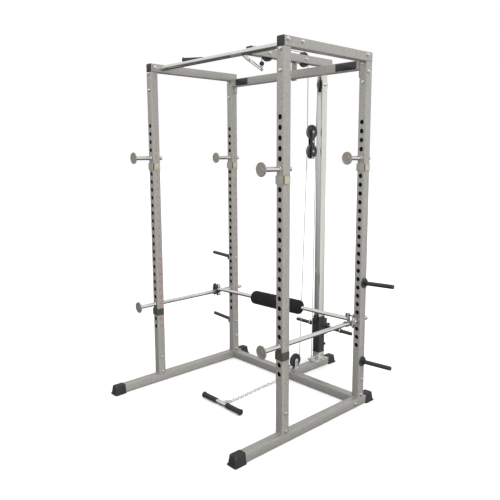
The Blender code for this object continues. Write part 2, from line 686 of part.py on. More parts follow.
def floating_block():
    """Two wheels one above the other between a pair of plates, hung in the cables."""
    lower = FLOAT_HEIGHT - FLOAT_SPACING
    block_origin = group("floating_block_origin", (0, FLOAT_Y, FLOAT_HEIGHT))
    inner = PULLEY_HALF + 0.0015
    outer = inner + BRACKET_WALL
    middle = (FLOAT_HEIGHT + lower) / 2
    plates = []
    for low, high in ((-outer, -inner), (inner, outer)):
        plates.append(block(
            (low, FLOAT_Y - FLOAT_PLATE, lower - FLOAT_TAIL),
            (high, FLOAT_Y + FLOAT_PLATE, FLOAT_HEIGHT + FLOAT_PLATE),
        ))
    pins = [axle(FLOAT_Y, z, outer + AXLE_STICK) for z in (FLOAT_HEIGHT, lower)]
    web = block(
        (-inner - WELD_STEP, FLOAT_Y - 0.009, middle - 0.005),
        (inner + WELD_STEP, FLOAT_Y + 0.009, middle + 0.005),
    )
    shape = combine(plates[0], [web, plates[1]] + pins)
    node("floating_block", shape, BLACK, block_origin.location, block_origin)
    pulley("float_wheel_upper", FLOAT_Y, FLOAT_HEIGHT, block_origin)
    pulley("float_wheel_lower", FLOAT_Y, lower, block_origin)


def fixed_pulleys():
    pulley("lat_front_pulley", LAT_FRONT_Y, ARM_Z)
    pulley("lat_rear_pulley", LAT_REAR_Y, ARM_Z)
    pulley("tower_top_pulley", TOWER_Y, TOP_PULLEY_HEIGHT)
    pulley("low_pulley", LOW_Y, LOW_PULLEY_HEIGHT)
    guide_y = REAR_Y + GUIDE_Y
    pulley("low_guide_roller", guide_y, GUIDE_HEIGHT, radius=GUIDE_RADIUS, groove=GUIDE_GROOVE)


LAT_STOP = Vector((0, LAT_FRONT_Y - ROPE_PATH, ARM_Z - STOP_DROP))
LAT_EYE = Vector((0, LAT_STOP.y, LAT_STOP.z - 0.036))
ROW_LEAN = math.radians(220)
ROW_WAY = Vector((0, math.cos(ROW_LEAN), math.sin(ROW_LEAN)))
ROW_TANGENT = Vector((
    0,
    REAR_Y + GUIDE_Y + GUIDE_PATH * math.sin(ROW_LEAN),
    GUIDE_HEIGHT - GUIDE_PATH * math.cos(ROW_LEAN),
))
ROW_STOP = ROW_TANGENT + ROW_WAY * 0.046
ROW_EYE = ROW_STOP + ROW_WAY * 0.026
LUG_TOP = CARRIAGE_PEG_HEIGHT + 0.100


def cables():
    """Upper cable from the lat bar to the carriage, lower cable from the row handle to the tower."""
    top = LAT_STOP.z + STOP_RADIUS + 0.0008
    upper = belt([
        (LAT_STOP.y, top, 0, 0),
        (LAT_FRONT_Y, ARM_Z, ROPE_PATH, -1),
        (LAT_REAR_Y, ARM_Z, ROPE_PATH, -1),
        (FLOAT_Y, FLOAT_HEIGHT, ROPE_PATH, 1),
        (TOWER_Y, TOP_PULLEY_HEIGHT, ROPE_PATH, -1),
        (TOWER_Y + ROPE_PATH, LUG_TOP + TOUCH, 0, 0),
    ])
    cable("upper_cable", upper, ROPE_RADIUS, ROPE)
    start = ROW_STOP - ROW_WAY * (STOP_RADIUS + 0.001)
    lower = belt([
        (start.y, start.z, 0, 0),
        (REAR_Y + GUIDE_Y, GUIDE_HEIGHT, GUIDE_PATH, -1),
        (LOW_Y, LOW_PULLEY_HEIGHT, ROPE_PATH, 1),
        (FLOAT_Y, FLOAT_HEIGHT - FLOAT_SPACING, ROPE_PATH, -1),
        (TOWER_Y - ANCHOR_Y, UPRIGHT_FOOT + ANCHOR_RISE + ROPE_TOUCH, 0, 0),
    ])
    cable("lower_cable", lower, ROPE_RADIUS, ROPE)


def eye_plate(centre, back, half_x=0.004, size=0.011, hole=0.0055):
    """A flat tab from a back point to a round hole that runs along X."""
    centre, back = Vector(centre), Vector(back)
    along = centre - back
    reach = along.length
    tab = block((-half_x, -0.008, -size), (half_x, reach, size))
    nose = rod((-half_x + 0.0001, reach, 0), (half_x - 0.0001, reach, 0), size - 0.0002, 16)
    shape = combine(tab, [nose], [rod((-0.02, reach, 0), (0.02, reach, 0), hole, 12)])
    lean = math.atan2(along.z, along.y)
    shape.transform(Matrix.Translation(back) @ Matrix.Rotation(lean, 4, "X"))
    return shape


def stopper(centre, eye):
    """A rubber ball on the cable's end with a steel eye below it."""
    rings = 8
    profile = []
    for k in range(1, rings):
        angle = math.pi * k / rings
        profile.append((STOP_RADIUS * math.sin(angle), -STOP_RADIUS * math.cos(angle)))
    way = (Vector(centre) - Vector(eye)).normalized()
    ball = lathe(profile, 14, centre, way)
    tab = eye_plate(eye, Vector(centre) - way * (STOP_RADIUS - 0.006), 0.0035, 0.009)
    return combine(ball, [tab])


# ---------------------------------------------------------------- lat bar
def grip(name, start, end, parent):
    """A rubber sleeve with a rim at its outer end."""
    start, end = Vector(start), Vector(end)
    length = (end - start).length
    inner = PEG_RADIUS + GRIP_PLAY
    profile = [
        (inner, 0.0),
        (GRIP_RADIUS, 0.0),
        (GRIP_RADIUS, length - 0.006),
        (GRIP_RADIUS + GRIP_RIM, length - 0.005),
        (GRIP_RADIUS + GRIP_RIM, length),
        (inner, length),
    ]
    node(name, lathe(profile, 14, start, end - start, ring=True), RUBBER, parent.location, parent)


def lat_bar():
    """Bar with angled ends, lying with its ends forward, clipped to the upper cable."""
    y = FRONT_Y + LAT_BAR_INSET
    z = LAT_BAR_HEIGHT
    origin = group("lat_bar_origin", LAT_STOP)
    corner = Vector((LAT_BAR_STRAIGHT, y, z))
    lean = Vector((math.cos(LAT_BAR_BEND), -math.sin(LAT_BAR_BEND), 0))
    mirror = Vector((-1, 1, 1))
    tip = corner + lean * LAT_BAR_END
    bar = rod((-corner.x, y, z), (corner.x, y, z), PEG_RADIUS)
    arms = [rod(corner - lean * 0.006, tip, PEG_RADIUS - 0.0001)]
    arms.append(rod((corner - lean * 0.006) * mirror, tip * mirror, PEG_RADIUS - 0.0001))
    hook_eye = Vector((0, y + 0.068, z - 0.033))
    strap = eye_plate(hook_eye, Vector((0, y, z)), size=0.010)
    node("lat_bar", combine(bar, arms + [strap]), CHROME, origin.location, origin)
    start = corner + lean * 0.012
    grip("lat_grip_right", start, tip - lean * 0.001, origin)
    grip("lat_grip_left", start * mirror, (tip - lean * 0.001) * mirror, origin)
    cable("lat_carabiner", ring_points(hook_eye, LAT_EYE, 0.012), 0.003, STEEL, True, origin)
    node("lat_cable_stop", stopper(LAT_STOP, LAT_EYE), RUBBER, origin.location, origin)


# ---------------------------------------------------------------- row handle
def row_handle():
    """Straight handle on a chain, lying on the floor inside the cage."""
    y = FRONT_Y + HANDLE_Y
    origin = group("row_handle_origin", (HANDLE_X, y, HANDLE_HEIGHT))
    left = Vector((HANDLE_X - HANDLE_HALF, y, HANDLE_HEIGHT))
    right = Vector((HANDLE_X + HANDLE_HALF, y, HANDLE_HEIGHT))
    tab = eye_plate((0, y + 0.040, HANDLE_HEIGHT - 0.006), (0, y, HANDLE_HEIGHT), size=0.010)
    tab.transform(Matrix.Translation((HANDLE_X, 0, 0)))
    node("row_handle", combine(rod(left, right, PEG_RADIUS), [tab]), CHROME, origin.location, origin)
    bare = 0.045
    grip("row_grip_left", (HANDLE_X - bare, y, HANDLE_HEIGHT), left + Vector((0.001, 0, 0)), origin)
    grip("row_grip_right", (HANDLE_X + bare, y, HANDLE_HEIGHT), right - Vector((0.001, 0, 0)), origin)
    ring_start = Vector((0, ROW_EYE.y - 0.052, CHAIN_RADIUS + 0.009))
    chain_start = Vector((HANDLE_X, y + 0.058, CHAIN_RADIUS + 0.001))
    chain_end = Vector((0, ring_start.y - 0.010, CHAIN_RADIUS + 0.001))
    node("row_chain", rod(chain_start, chain_end, CHAIN_RADIUS, 8), STEEL, origin.location, origin)
    cable("row_carabiner", ring_points(ring_start, ROW_EYE, 0.010), 0.003, STEEL, True, origin)
    node("row_cable_stop", stopper(ROW_STOP, ROW_EYE), RUBBER, origin.location, origin)


# ---------------------------------------------------------------- carriage
def carriage():
    """Sleeve on the tower with pegs for weight plates."""
    bottom = SADDLE_TOP + TOUCH
    half = SLEEVE / 2
    wide = COLLAR / 2
    peg_z = CARRIAGE_PEG_HEIGHT
    peg_y = TOWER_Y + wide + 0.0115
    origin = group("carriage_origin", (0, TOWER_Y, bottom))
    top = bottom + CARRIAGE_HEIGHT
    skin = block((-half, TOWER_Y - half, bottom), (half, TOWER_Y + half, top))
    low = peg_z - COLLAR_BELOW
    high = peg_z + COLLAR_ABOVE
    belt_box = block((-wide, TOWER_Y - wide, low), (wide, TOWER_Y + wide + 0.012, high))
    cross = rod((-CARRIAGE_PEG, peg_y, peg_z), (CARRIAGE_PEG, peg_y, peg_z), PEG_RADIUS)
    horn_z = peg_z + 0.0003
    horn = rod((0, peg_y, horn_z), (0, peg_y + CARRIAGE_HORN, horn_z), PEG_RADIUS)
    lug_y = TOWER_Y + ROPE_PATH
    lug = block((-0.008, lug_y - 0.011, high - 0.012), (0.008, lug_y + 0.009, LUG_TOP))
    front_lug = block(
        (-0.012, TOWER_Y - wide - 0.006, high - 0.030),
        (0.012, TOWER_Y - half + 0.002, high + 0.035),
    )
    room = HALF + SLEEVE_PLAY
    bore = block((-room, TOWER_Y - room, bottom - 0.1), (room, TOWER_Y + room, top + 0.1))
    shape = combine(combine(skin, [belt_box, cross, horn, lug, front_lug]), cuts=[bore])
    node("carriage", shape, BLACK, origin.location, origin)
    for side, x in SPRING_COLLARS.items():
        start = (x - SPRING_COLLAR_HALF, peg_y, peg_z)
        end = (x + SPRING_COLLAR_HALF, peg_y, peg_z)
        ring = sleeve(start, end, PEG_RADIUS + 0.0012, PEG_RADIUS + 0.0062, 14)
        node(f"spring_collar_{side}", ring, STEEL, (x, peg_y, peg_z), origin)


base_frame()
feet()
uprights()
side_tubes()
top_crossbars()
lat_arm_and_tower()
arm_bracket()
tower_saddle()
low_pulley_bracket()
plate_pegs()
hooks()
safety_bars()
leg_roller()
fixed_pulleys()
floating_block()
cables()
lat_bar()
row_handle()
carriage()
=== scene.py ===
"""Finish pieces for the power cage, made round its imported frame."""

import json
import math

import bmesh
import bpy
from bpy.props import FloatProperty, FloatVectorProperty, IntProperty, PointerProperty
from mathutils import Matrix, Vector


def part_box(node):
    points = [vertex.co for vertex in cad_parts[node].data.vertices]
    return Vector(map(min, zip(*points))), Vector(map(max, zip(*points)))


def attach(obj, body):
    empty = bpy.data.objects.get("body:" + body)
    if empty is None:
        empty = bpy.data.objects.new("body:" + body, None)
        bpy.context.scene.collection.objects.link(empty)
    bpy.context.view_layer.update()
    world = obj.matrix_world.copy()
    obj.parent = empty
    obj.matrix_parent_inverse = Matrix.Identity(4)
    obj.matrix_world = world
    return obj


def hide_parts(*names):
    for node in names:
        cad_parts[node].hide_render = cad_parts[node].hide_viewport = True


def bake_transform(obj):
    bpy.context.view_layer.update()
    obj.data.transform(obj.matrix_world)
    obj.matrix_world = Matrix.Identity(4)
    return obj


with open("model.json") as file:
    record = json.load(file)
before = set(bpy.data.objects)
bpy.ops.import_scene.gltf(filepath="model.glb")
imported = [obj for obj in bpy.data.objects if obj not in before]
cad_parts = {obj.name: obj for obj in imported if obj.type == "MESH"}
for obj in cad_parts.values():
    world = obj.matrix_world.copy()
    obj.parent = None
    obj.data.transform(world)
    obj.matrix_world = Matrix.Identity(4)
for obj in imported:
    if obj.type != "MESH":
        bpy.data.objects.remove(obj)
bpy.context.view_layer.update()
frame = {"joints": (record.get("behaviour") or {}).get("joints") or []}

bl_info = {
    "name": "Power cage finish",
    "version": (1, 0, 0),
    "blender": (4, 5, 0),
    "location": "View3D > Sidebar > Power cage",
    "description": "Tubes, hooks, cables, pulleys and fittings of a power cage",
    "category": "Object",
}


# ------------------------------------------------------------------ sizes from the frame
def low(node):
    return Vector(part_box(node)[0])


def high(node):
    return Vector(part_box(node)[1])


def ends(node):
    return low(node), high(node)


def middle(node):
    return (low(node) + high(node)) / 2


def joint_of(name):
    return next(joint for joint in frame["joints"] if joint["name"] == name)


CORNERS = ("front_left", "rear_left", "front_right", "rear_right")
SIDES = (("left", -1), ("right", 1))
POST = {corner: middle(f"upright_{corner}") for corner in CORNERS}
TUBE = high("upright_front_left").x - low("upright_front_left").x
HALF = TUBE / 2
FOOT_Z = low("upright_front_left").z
HEAD_Z = high("upright_front_left").z
PITCH = TUBE  # the holes stand one tube width apart
HOLES = 27
TOP_HOLE = (FOOT_Z + HEAD_Z) / 2 + (HOLES - 1) / 2 * PITCH
WALL = 0.002
ROD = 0.0127  # radius of the hook rods, safety bars and leg roller bar
PEG = 0.0125  # radius of the pegs, the lat bar and the row handle
DISC_TOP = 0.0356  # top of a rod's disc above the rod's axis
DISC_OUT = 0.125  # back of a rod's disc in front of the post
PEG_RISE = 0.0294  # root of a storage peg above its lowest point
CABLE = 0.0025
PATH = 0.0435  # cable's middle line round a pulley
GUIDE_PATH = 0.0152  # and round the guide roller
SLOT, SLOT_REACH = 0.012, 0.0535  # half width and half length of a pulley's slot
GUIDE_LEAN = math.radians(220)  # direction in which the lower cable leaves the guide roller
TOWER = middle("tower_tube")
ARM_Z = middle("lat_arm").z
HOOK_Z = {corner: high(f"j_hook_{corner}").z - DISC_TOP for corner in CORNERS}
SAFETY_Z = high("safety_bar_left").z - DISC_TOP
ROLLER = Vector(joint_of("foam_spin")["pos_m"])
ROLLER_WAY = Vector(joint_of("foam_spin")["axis"]).normalized()
HIGH_PULLEYS = ("lat_front_pulley", "lat_rear_pulley", "tower_top_pulley")
WHEELS = (*HIGH_PULLEYS, "low_pulley", "low_guide_roller", "float_wheel_upper", "float_wheel_lower")
ACROSS, FORWARD, BACK, UP = (1, 0, 0), (0, -1, 0), (0, 1, 0), (0, 0, 1)
QUARTER, FULL = math.pi / 2, math.pi * 2


def hub(name):
    return Vector(joint_of(name + "_spin")["pos_m"])


def words(name):
    return name.replace("_", " ")


# ------------------------------------------------------------------ what a user would change
class CageFrameSizes(bpy.types.PropertyGroup):
    """Shape of the painted steel tubes."""
    corner: FloatProperty(
        name="Tube corner", description="Outside radius along a tube's edges",
        default=0.0042, min=0.001, max=0.01, unit="LENGTH")
    hole: FloatProperty(
        name="Hole", description="Width of an adjusting hole",
        default=0.0270, min=0.02, max=0.03, unit="LENGTH")
    paint: FloatVectorProperty(
        name="Paint", description="Colour of the frame",
        default=(0.315, 0.304, 0.282), size=3, min=0.0, max=1.0, subtype="COLOR")


class CageFittingSizes(bpy.types.PropertyGroup):
    """Sizes and colours of the fittings."""
    bolt: FloatProperty(
        name="Bolt", description="Width of a hexagon bolt head across its flats",
        default=0.0165, min=0.008, max=0.03, unit="LENGTH")
    link: FloatProperty(
        name="Chain pitch", description="Distance from one chain link to the next",
        default=0.0195, min=0.01, max=0.04, unit="LENGTH")
    steps: IntProperty(
        name="Roundness", description="Sides of a round bar or wheel",
        default=48, min=16, max=96)
    rubber: FloatVectorProperty(
        name="Rubber", description="Colour of the feet and grips",
        default=(0.012, 0.012, 0.013), size=3, min=0.0, max=1.0, subtype="COLOR")
    chrome: FloatVectorProperty(
        name="Chrome", description="Colour of the bright bars",
        default=(0.66, 0.65, 0.62), size=3, min=0.0, max=1.0, subtype="COLOR")


class CageStageSizes(bpy.types.PropertyGroup):
    """Floor and light."""
    floor: FloatVectorProperty(
        name="Floor", description="Colour of the floor",
        default=(0.93, 0.93, 0.93), size=3, min=0.0, max=1.0, subtype="COLOR")
    light: FloatProperty(
        name="Light", description="Strength of the soft surroundings",
        default=1.0, min=0.1, max=5.0)


# ------------------------------------------------------------------ finishes
MADE = {}


def noise(tree, coords, scale, detail=3.0, rough=0.5):
    node = tree.nodes.new("ShaderNodeTexNoise")
    node.inputs["Scale"].default_value = scale
    node.inputs["Detail"].default_value = detail
    node.inputs["Roughness"].default_value = rough
    tree.links.new(coords, node.inputs["Vector"])
    return node.outputs["Fac"]


def spread(tree, value, start, end, to_low, to_high):
    """Maps a value from start..end to to_low..to_high."""
    node = tree.nodes.new("ShaderNodeMapRange")
    node.inputs["From Min"].default_value = start
    node.inputs["From Max"].default_value = end
    node.inputs["To Min"].default_value = to_low
    node.inputs["To Max"].default_value = to_high
    tree.links.new(value, node.inputs["Value"])
    return node.outputs["Result"]


def two_tone(tree, value, dark, light):
    node = tree.nodes.new("ShaderNodeMix")
    node.data_type = "RGBA"
    node.inputs["A"].default_value = (*dark, 1.0)
    node.inputs["B"].default_value = (*light, 1.0)
    tree.links.new(value, node.inputs["Factor"])
    return node.outputs["Result"]


def finish(name, color, roughness, metallic=0.0, mottle=0.10, patch=9.0, grain=900.0, depth=0.00004,
           stretch=(1.0, 1.0, 1.0), rub=0.08, coat=0.0, cells=0.0, shine=0.5):
    """A procedural finish: patchy colour, uneven gloss and a fine surface grain."""
    if name in MADE:
        return MADE[name]
    mat = bpy.data.materials.new(name)
    mat.use_nodes = True
    tree = mat.node_tree
    shader = tree.nodes["Principled BSDF"]
    shader.inputs["Metallic"].default_value = metallic
    shader.inputs["Specular IOR Level"].default_value = shine
    shader.inputs["Coat Weight"].default_value = coat
    shader.inputs["Coat Roughness"].default_value = 0.15
    place = tree.nodes.new("ShaderNodeTexCoord").outputs["Object"]
    mapping = tree.nodes.new("ShaderNodeMapping")
    mapping.inputs["Scale"].default_value = stretch
    tree.links.new(place, mapping.inputs["Vector"])
    along = mapping.outputs["Vector"]
    cloud = noise(tree, place, patch, 5.0, 0.6)
    fine = noise(tree, along, grain, 2.0, 0.6)
    dark = [c * (1.0 - mottle) for c in color]
    light = [min(1.0, c * (1.0 + mottle)) for c in color]
    mixed = tree.nodes.new("ShaderNodeMath")
    mixed.operation = "ADD"
    tree.links.new(spread(tree, cloud, 0.35, 0.65, 0.0, 0.6), mixed.inputs[0])
    tree.links.new(spread(tree, fine, 0.3, 0.7, 0.0, 0.4), mixed.inputs[1])
    tree.links.new(two_tone(tree, mixed.outputs["Value"], dark, light), shader.inputs["Base Color"])
    gloss = noise(tree, along, patch * 4.0, 4.0, 0.65)
    tree.links.new(
        spread(tree, gloss, 0.3, 0.7, max(0.02, roughness - rub), min(1.0, roughness + rub)),
        shader.inputs["Roughness"])
    bump = tree.nodes.new("ShaderNodeBump")
    bump.inputs["Strength"].default_value = 1.0
    bump.inputs["Distance"].default_value = depth
    relief = fine
    if cells:
        pores = tree.nodes.new("ShaderNodeTexVoronoi")
        pores.inputs["Scale"].default_value = cells
        tree.links.new(place, pores.inputs["Vector"])
        relief = pores.outputs["Distance"]
    tree.links.new(relief, bump.inputs["Height"])
    tree.links.new(bump.outputs["Normal"], shader.inputs["Normal"])
    MADE[name] = mat
    return mat


def paint():
    color = bpy.context.scene.cage_frame.paint
    return finish("silver powder paint", color, 0.36, 0.50, mottle=0.16, patch=70.0, grain=900.0,
                  depth=0.00008, rub=0.08, coat=0.15)


def chrome():
    color = bpy.context.scene.cage_fittings.chrome
    return finish("chrome plate", color, 0.16, 1.0, mottle=0.03, patch=14.0, grain=500.0, depth=0.000004,
                  rub=0.05)


def brushed_disc():
    return finish("turned steel face", (0.33, 0.305, 0.275), 0.42, 0.8, mottle=0.12, patch=30.0,
                  grain=1200.0, depth=0.00002)


def bright_plate():
    return finish("bright pressed plate", (0.66, 0.66, 0.64), 0.30, 0.9, mottle=0.06, patch=20.0,
                  grain=700.0, depth=0.00002)


def zinc():
    return finish("zinc plated steel", (0.62, 0.62, 0.60), 0.30, 1.0, mottle=0.10, patch=60.0,
                  grain=900.0, depth=0.00001)


def rubber():
    color = bpy.context.scene.cage_fittings.rubber
    return finish("moulded rubber", color, 0.62, 0.0, mottle=0.25, patch=25.0, grain=1500.0,
                  depth=0.00006)


def plastic():
    return finish("black nylon", (0.014, 0.014, 0.015), 0.42, 0.0, mottle=0.2, patch=20.0, grain=1800.0,
                  depth=0.00003)


def black_paint():
    return finish("black powder paint", (0.013, 0.013, 0.014), 0.36, 0.0, mottle=0.2, patch=12.0,
                  grain=1500.0, depth=0.00005, coat=0.1)


def dark_paint():
    return finish("olive black paint", (0.040, 0.038, 0.030), 0.42, 0.0, mottle=0.2, patch=60.0,
                  depth=0.00006)


def foam():
    return finish("closed cell foam", (0.009, 0.009, 0.009), 0.92, 0.0, mottle=0.3, patch=40.0,
                  grain=1200.0, depth=0.0005, cells=420.0, shine=0.25)


def rope():
    return finish("coated steel cable", (0.25, 0.25, 0.25), 0.38, 0.2, mottle=0.15, patch=15.0,
                  grain=300.0, depth=0.0002, stretch=(1.0, 1.0, 0.25), coat=0.3)


# inside of the posts: bare steel's colour, made near-black as painted shade for the dark inside of the tubes
def bare_steel():
    return finish("bare bore steel", (0.020, 0.019, 0.018), 0.7, 0.2, mottle=0.3, patch=15.0, grain=500.0,
                  depth=0.00005)


def ink(name, color):
    return finish(name, color, 0.5, 0.0, mottle=0.12, patch=30.0, grain=800.0, depth=0.00001)


# ------------------------------------------------------------------ mesh tools
def shown(name, data):
    """A new object in the scene."""
    piece = bpy.data.objects.new(name, data)
    bpy.context.scene.collection.objects.link(piece)
    return piece


def baked(piece, *helpers):
    """The final mesh of an object; the object and its helpers are removed."""
    result = bpy.data.meshes.new_from_object(piece.evaluated_get(bpy.context.evaluated_depsgraph_get()))
    for item in (piece, *helpers):
        bpy.data.objects.remove(item, do_unlink=True)
    return result


def skin(rings, wrap=False, angle=38):
    """A surface through rings of points; wrap joins the last ring to the first."""
    mesh = bpy.data.meshes.new("skin")
    shape = bmesh.new()
    rows = [[shape.verts.new(point) for point in ring] for ring in rings]
    pairs = list(zip(rows, rows[1:])) + ([(rows[-1], rows[0])] if wrap else [])
    for first, second in pairs:
        for k in range(len(first)):
            n = (k + 1) % len(first)
            shape.faces.new((first[k], first[n], second[n], second[k]))
    if not wrap:
        shape.faces.new(rows[0])
        shape.faces.new(rows[-1])
    bmesh.ops.recalc_face_normals(shape, faces=shape.faces)
    shape.to_mesh(mesh)
    shape.free()
    return smooth(mesh, angle)


def smooth(mesh, angle=38):
    mesh.shade_smooth()
    mesh.set_sharp_from_angle(angle=math.radians(angle))
    return mesh


def joined(*meshes):
    """Several meshes as one."""
    shape = bmesh.new()
    for mesh in meshes:
        shape.from_mesh(mesh)
    result = bpy.data.meshes.new("joined")
    shape.to_mesh(result)
    shape.free()
    return smooth(result)


def moved(mesh, *matrices):
    """A copy of a mesh, carried by each matrix in turn."""
    copy = mesh.copy()
    for matrix in matrices:
        copy.transform(matrix)
        if matrix.determinant() < 0:
            copy.flip_normals()
    return copy


def to(x=0.0, y=0.0, z=0.0):
    return Matrix.Translation((x, y, z))


def facing(way):
    """Rotation that takes +Z to a direction."""
    return Vector(way).to_track_quat("Z", "Y").to_matrix().to_4x4()


# an outline on its side has its thickness along X, one on its front has it along -Y
ON_SIDE = Matrix(((0, 0, 1, 0), (1, 0, 0, 0), (0, 1, 0, 0), (0, 0, 0, 1)))
ON_FRONT = Matrix(((1, 0, 0, 0), (0, 0, -1, 0), (0, 1, 0, 0), (0, 0, 0, 1)))


def bow(radius, first, last, steps):
    """Points (x, y) along an arc about the middle, with both ends."""
    turns = [first + (last - first) * k / steps for k in range(steps + 1)]
    return [(radius * math.cos(turn), radius * math.sin(turn)) for turn in turns]


def hoop(radius, count):
    """Points (x, y) of a whole circle."""
    return bow(radius, 0.0, FULL, count)[:-1]


def round_box(width, depth, corner, steps=5):
    """Outline of a rectangle with round corners, about the middle."""
    points = []
    for quarter, (sx, sy) in enumerate(((1, 1), (-1, 1), (-1, -1), (1, -1))):
        points += [(sx * (width / 2 - corner) + x, sy * (depth / 2 - corner) + y)
                   for x, y in bow(corner, QUARTER * quarter, QUARTER * (quarter + 1), steps)]
    return points


def turned(profile, centre, way, sides=None, wrap=False):
    """A profile of (radius, height) turned about an axis; a tip keeps a tiny radius."""
    sides = sides or bpy.context.scene.cage_fittings.steps
    tip = 0.00005
    rings = [[(x, y, height) for x, y in hoop(max(radius, tip), sides)] for radius, height in profile]
    return moved(skin(rings, wrap), facing(way), to(*centre))


def rounded_bar(start, end, radius, edge=0.0012, sides=32):
    """A solid round bar with softened ends."""
    start = Vector(start)
    way = Vector(end) - start
    profile = [(radius - edge + y, edge - x) for x, y in bow(edge, 0.0, QUARTER, 3)]
    profile += [(r, way.length - h) for r, h in reversed(profile)]
    return turned(profile, start, way, sides)


def swept(points, radius, sides=16, loop=False):
    """A round tube through points."""
    points = [Vector(p) for p in points]
    count = len(points)
    rings = []
    side = None
    for k, point in enumerate(points):
        before = points[k - 1] if loop or k else point
        after = points[(k + 1) % count] if loop or k < count - 1 else point
        way = (after - before).normalized()
        side = side or way.orthogonal().normalized()
        side = (side - way * side.dot(way)).normalized()
        up = way.cross(side)
        rings.append([point + side * x + up * y for x, y in hoop(radius, sides)])
    return skin(rings, wrap=loop, angle=50)


def slab(outline, thickness, edge=0.0008, steps=2):
    """A plate with the outline, from z = 0 up, with softened edges."""
    inner = Vector((sum(p[0] for p in outline), sum(p[1] for p in outline))) / len(outline)

    def ring(inset, z):
        points = []
        for x, y in outline:
            away = Vector((x, y)) - inner
            near = inner + away * (1 - inset / max(away.length, 1e-6))
            points.append((near.x, near.y, z))
        return points

    bends = [(edge - y, edge - x) for x, y in bow(edge, 0.0, QUARTER, steps)]
    rings = [ring(inset, rise) for inset, rise in bends]
    rings += [ring(inset, thickness - rise) for inset, rise in reversed(bends)]
    return skin(rings, angle=60)


def brick(lowest, highest, edge=0.001, corner=None):
    """A rectangular piece between two corners, with softened edges."""
    lowest, highest = Vector(lowest), Vector(highest)
    size = highest - lowest
    corner = corner or min(0.002, size.x / 3, size.y / 3)
    mesh = slab(round_box(size.x, size.y, corner, 3), size.z, min(edge, size.z / 3))
    mesh.transform(Matrix.Translation(((lowest.x + highest.x) / 2, (lowest.y + highest.y) / 2, lowest.z)))
    return mesh


def square_tube(start, end, corner=None, size=None, wall=WALL):
    """A hollow square tube with round corners between two points on its axis."""
    corner = corner or bpy.context.scene.cage_frame.corner
    size = size or TUBE
    start, end = Vector(start), Vector(end)
    way = (end - start).normalized()
    side = Vector((0, 1, 0)) if abs(way.x) > 0.9 else Vector((1, 0, 0))
    up = way.cross(side)

    def ring(at, cut):
        outline = round_box(size - 2 * cut, size - 2 * cut, max(corner - cut, 0.0008))
        return [at + side * x + up * y for x, y in outline]

    soft = 0.0005
    rings = [
        ring(start, soft), ring(start + way * soft, 0.0), ring(end - way * soft, 0.0), ring(end, soft),
        ring(end, wall), ring(start, wall),
    ]
    return skin(rings, wrap=True)


def carved(mesh, cutters):
    """The mesh with the cutters taken out of it."""
    body, tool = shown("stock", mesh), shown("cutter", joined(*cutters))
    modifier = body.modifiers.new("cut", "BOOLEAN")
    modifier.operation = "DIFFERENCE"
    modifier.solver = "EXACT"
    modifier.object = tool
    return smooth(baked(body, tool))


def put(name, mesh, material, body, slot, *nodes):
    """Adds a finished piece that rides on a body and stands for its solids."""
    mesh.name = name.replace(" ", "_")
    mesh.materials.clear()
    mesh.materials.append(material)
    piece = shown(mesh.name, mesh)
    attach(piece, body)
    if nodes:
        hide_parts(*nodes)
    return piece


def painted(name, mesh, *nodes):
    """A piece of the frame in its silver paint."""
    return put(name, mesh, paint(), "frame", "silver_paint", *nodes)


# ------------------------------------------------------------------ node trees for what repeats
def new_tree(name, *inputs):
    """An empty tree with named inputs, and its input and output nodes."""
    tree = bpy.data.node_groups.new(name, "GeometryNodeTree")
    tree.interface.new_socket("Geometry", in_out="INPUT", socket_type="NodeSocketGeometry")
    for label, kind, value in inputs:
        socket = tree.interface.new_socket(label, in_out="INPUT", socket_type=kind)
        if value is not None:
            socket.default_value = value
    tree.interface.new_socket("Geometry", in_out="OUTPUT", socket_type="NodeSocketGeometry")
    return tree, tree.nodes.new("NodeGroupInput"), tree.nodes.new("NodeGroupOutput")


def add_node(tree, kind, **settings):
    node = tree.nodes.new(kind)
    for key, value in settings.items():
        setattr(node, key, value)
    return node


def link_up(tree, *pairs):
    """Links (node, output, node, input) rows."""
    for giver, output, taker, socket in pairs:
        tree.links.new(giver.outputs[output], taker.inputs[socket])


def end_tree(tree, source, target, spot):
    """Realizes the instances and gives them their finish."""
    real = tree.nodes.new("GeometryNodeRealizeInstances")
    finished = tree.nodes.new("GeometryNodeSetMaterial")
    link_up(
        tree, (spot, "Instances", real, "Geometry"), (real, "Geometry", finished, "Geometry"),
        (source, "Finish", finished, "Material"), (finished, "Geometry", target, "Geometry"))


def fastener_tree():
    """A fastener on each point, turned by the point's own angles."""
    tree, source, target = new_tree(
        "Fasteners", ("Fastener", "NodeSocketObject", None), ("Size", "NodeSocketFloat", 1.0),
        ("Finish", "NodeSocketMaterial", None))
    piece = tree.nodes.new("GeometryNodeObjectInfo")
    turn = add_node(tree, "GeometryNodeInputNamedAttribute", data_type="FLOAT_VECTOR")
    turn.inputs["Name"].default_value = "turn"
    euler = tree.nodes.new("FunctionNodeEulerToRotation")
    spot = tree.nodes.new("GeometryNodeInstanceOnPoints")
    link_up(
        tree, (source, "Fastener", piece, "Object"), (source, "Geometry", spot, "Points"),
        (piece, "Geometry", spot, "Instance"), (turn, "Attribute", euler, "Euler"),
        (euler, "Rotation", spot, "Rotation"), (source, "Size", spot, "Scale"))
    end_tree(tree, source, target, spot)
    return tree


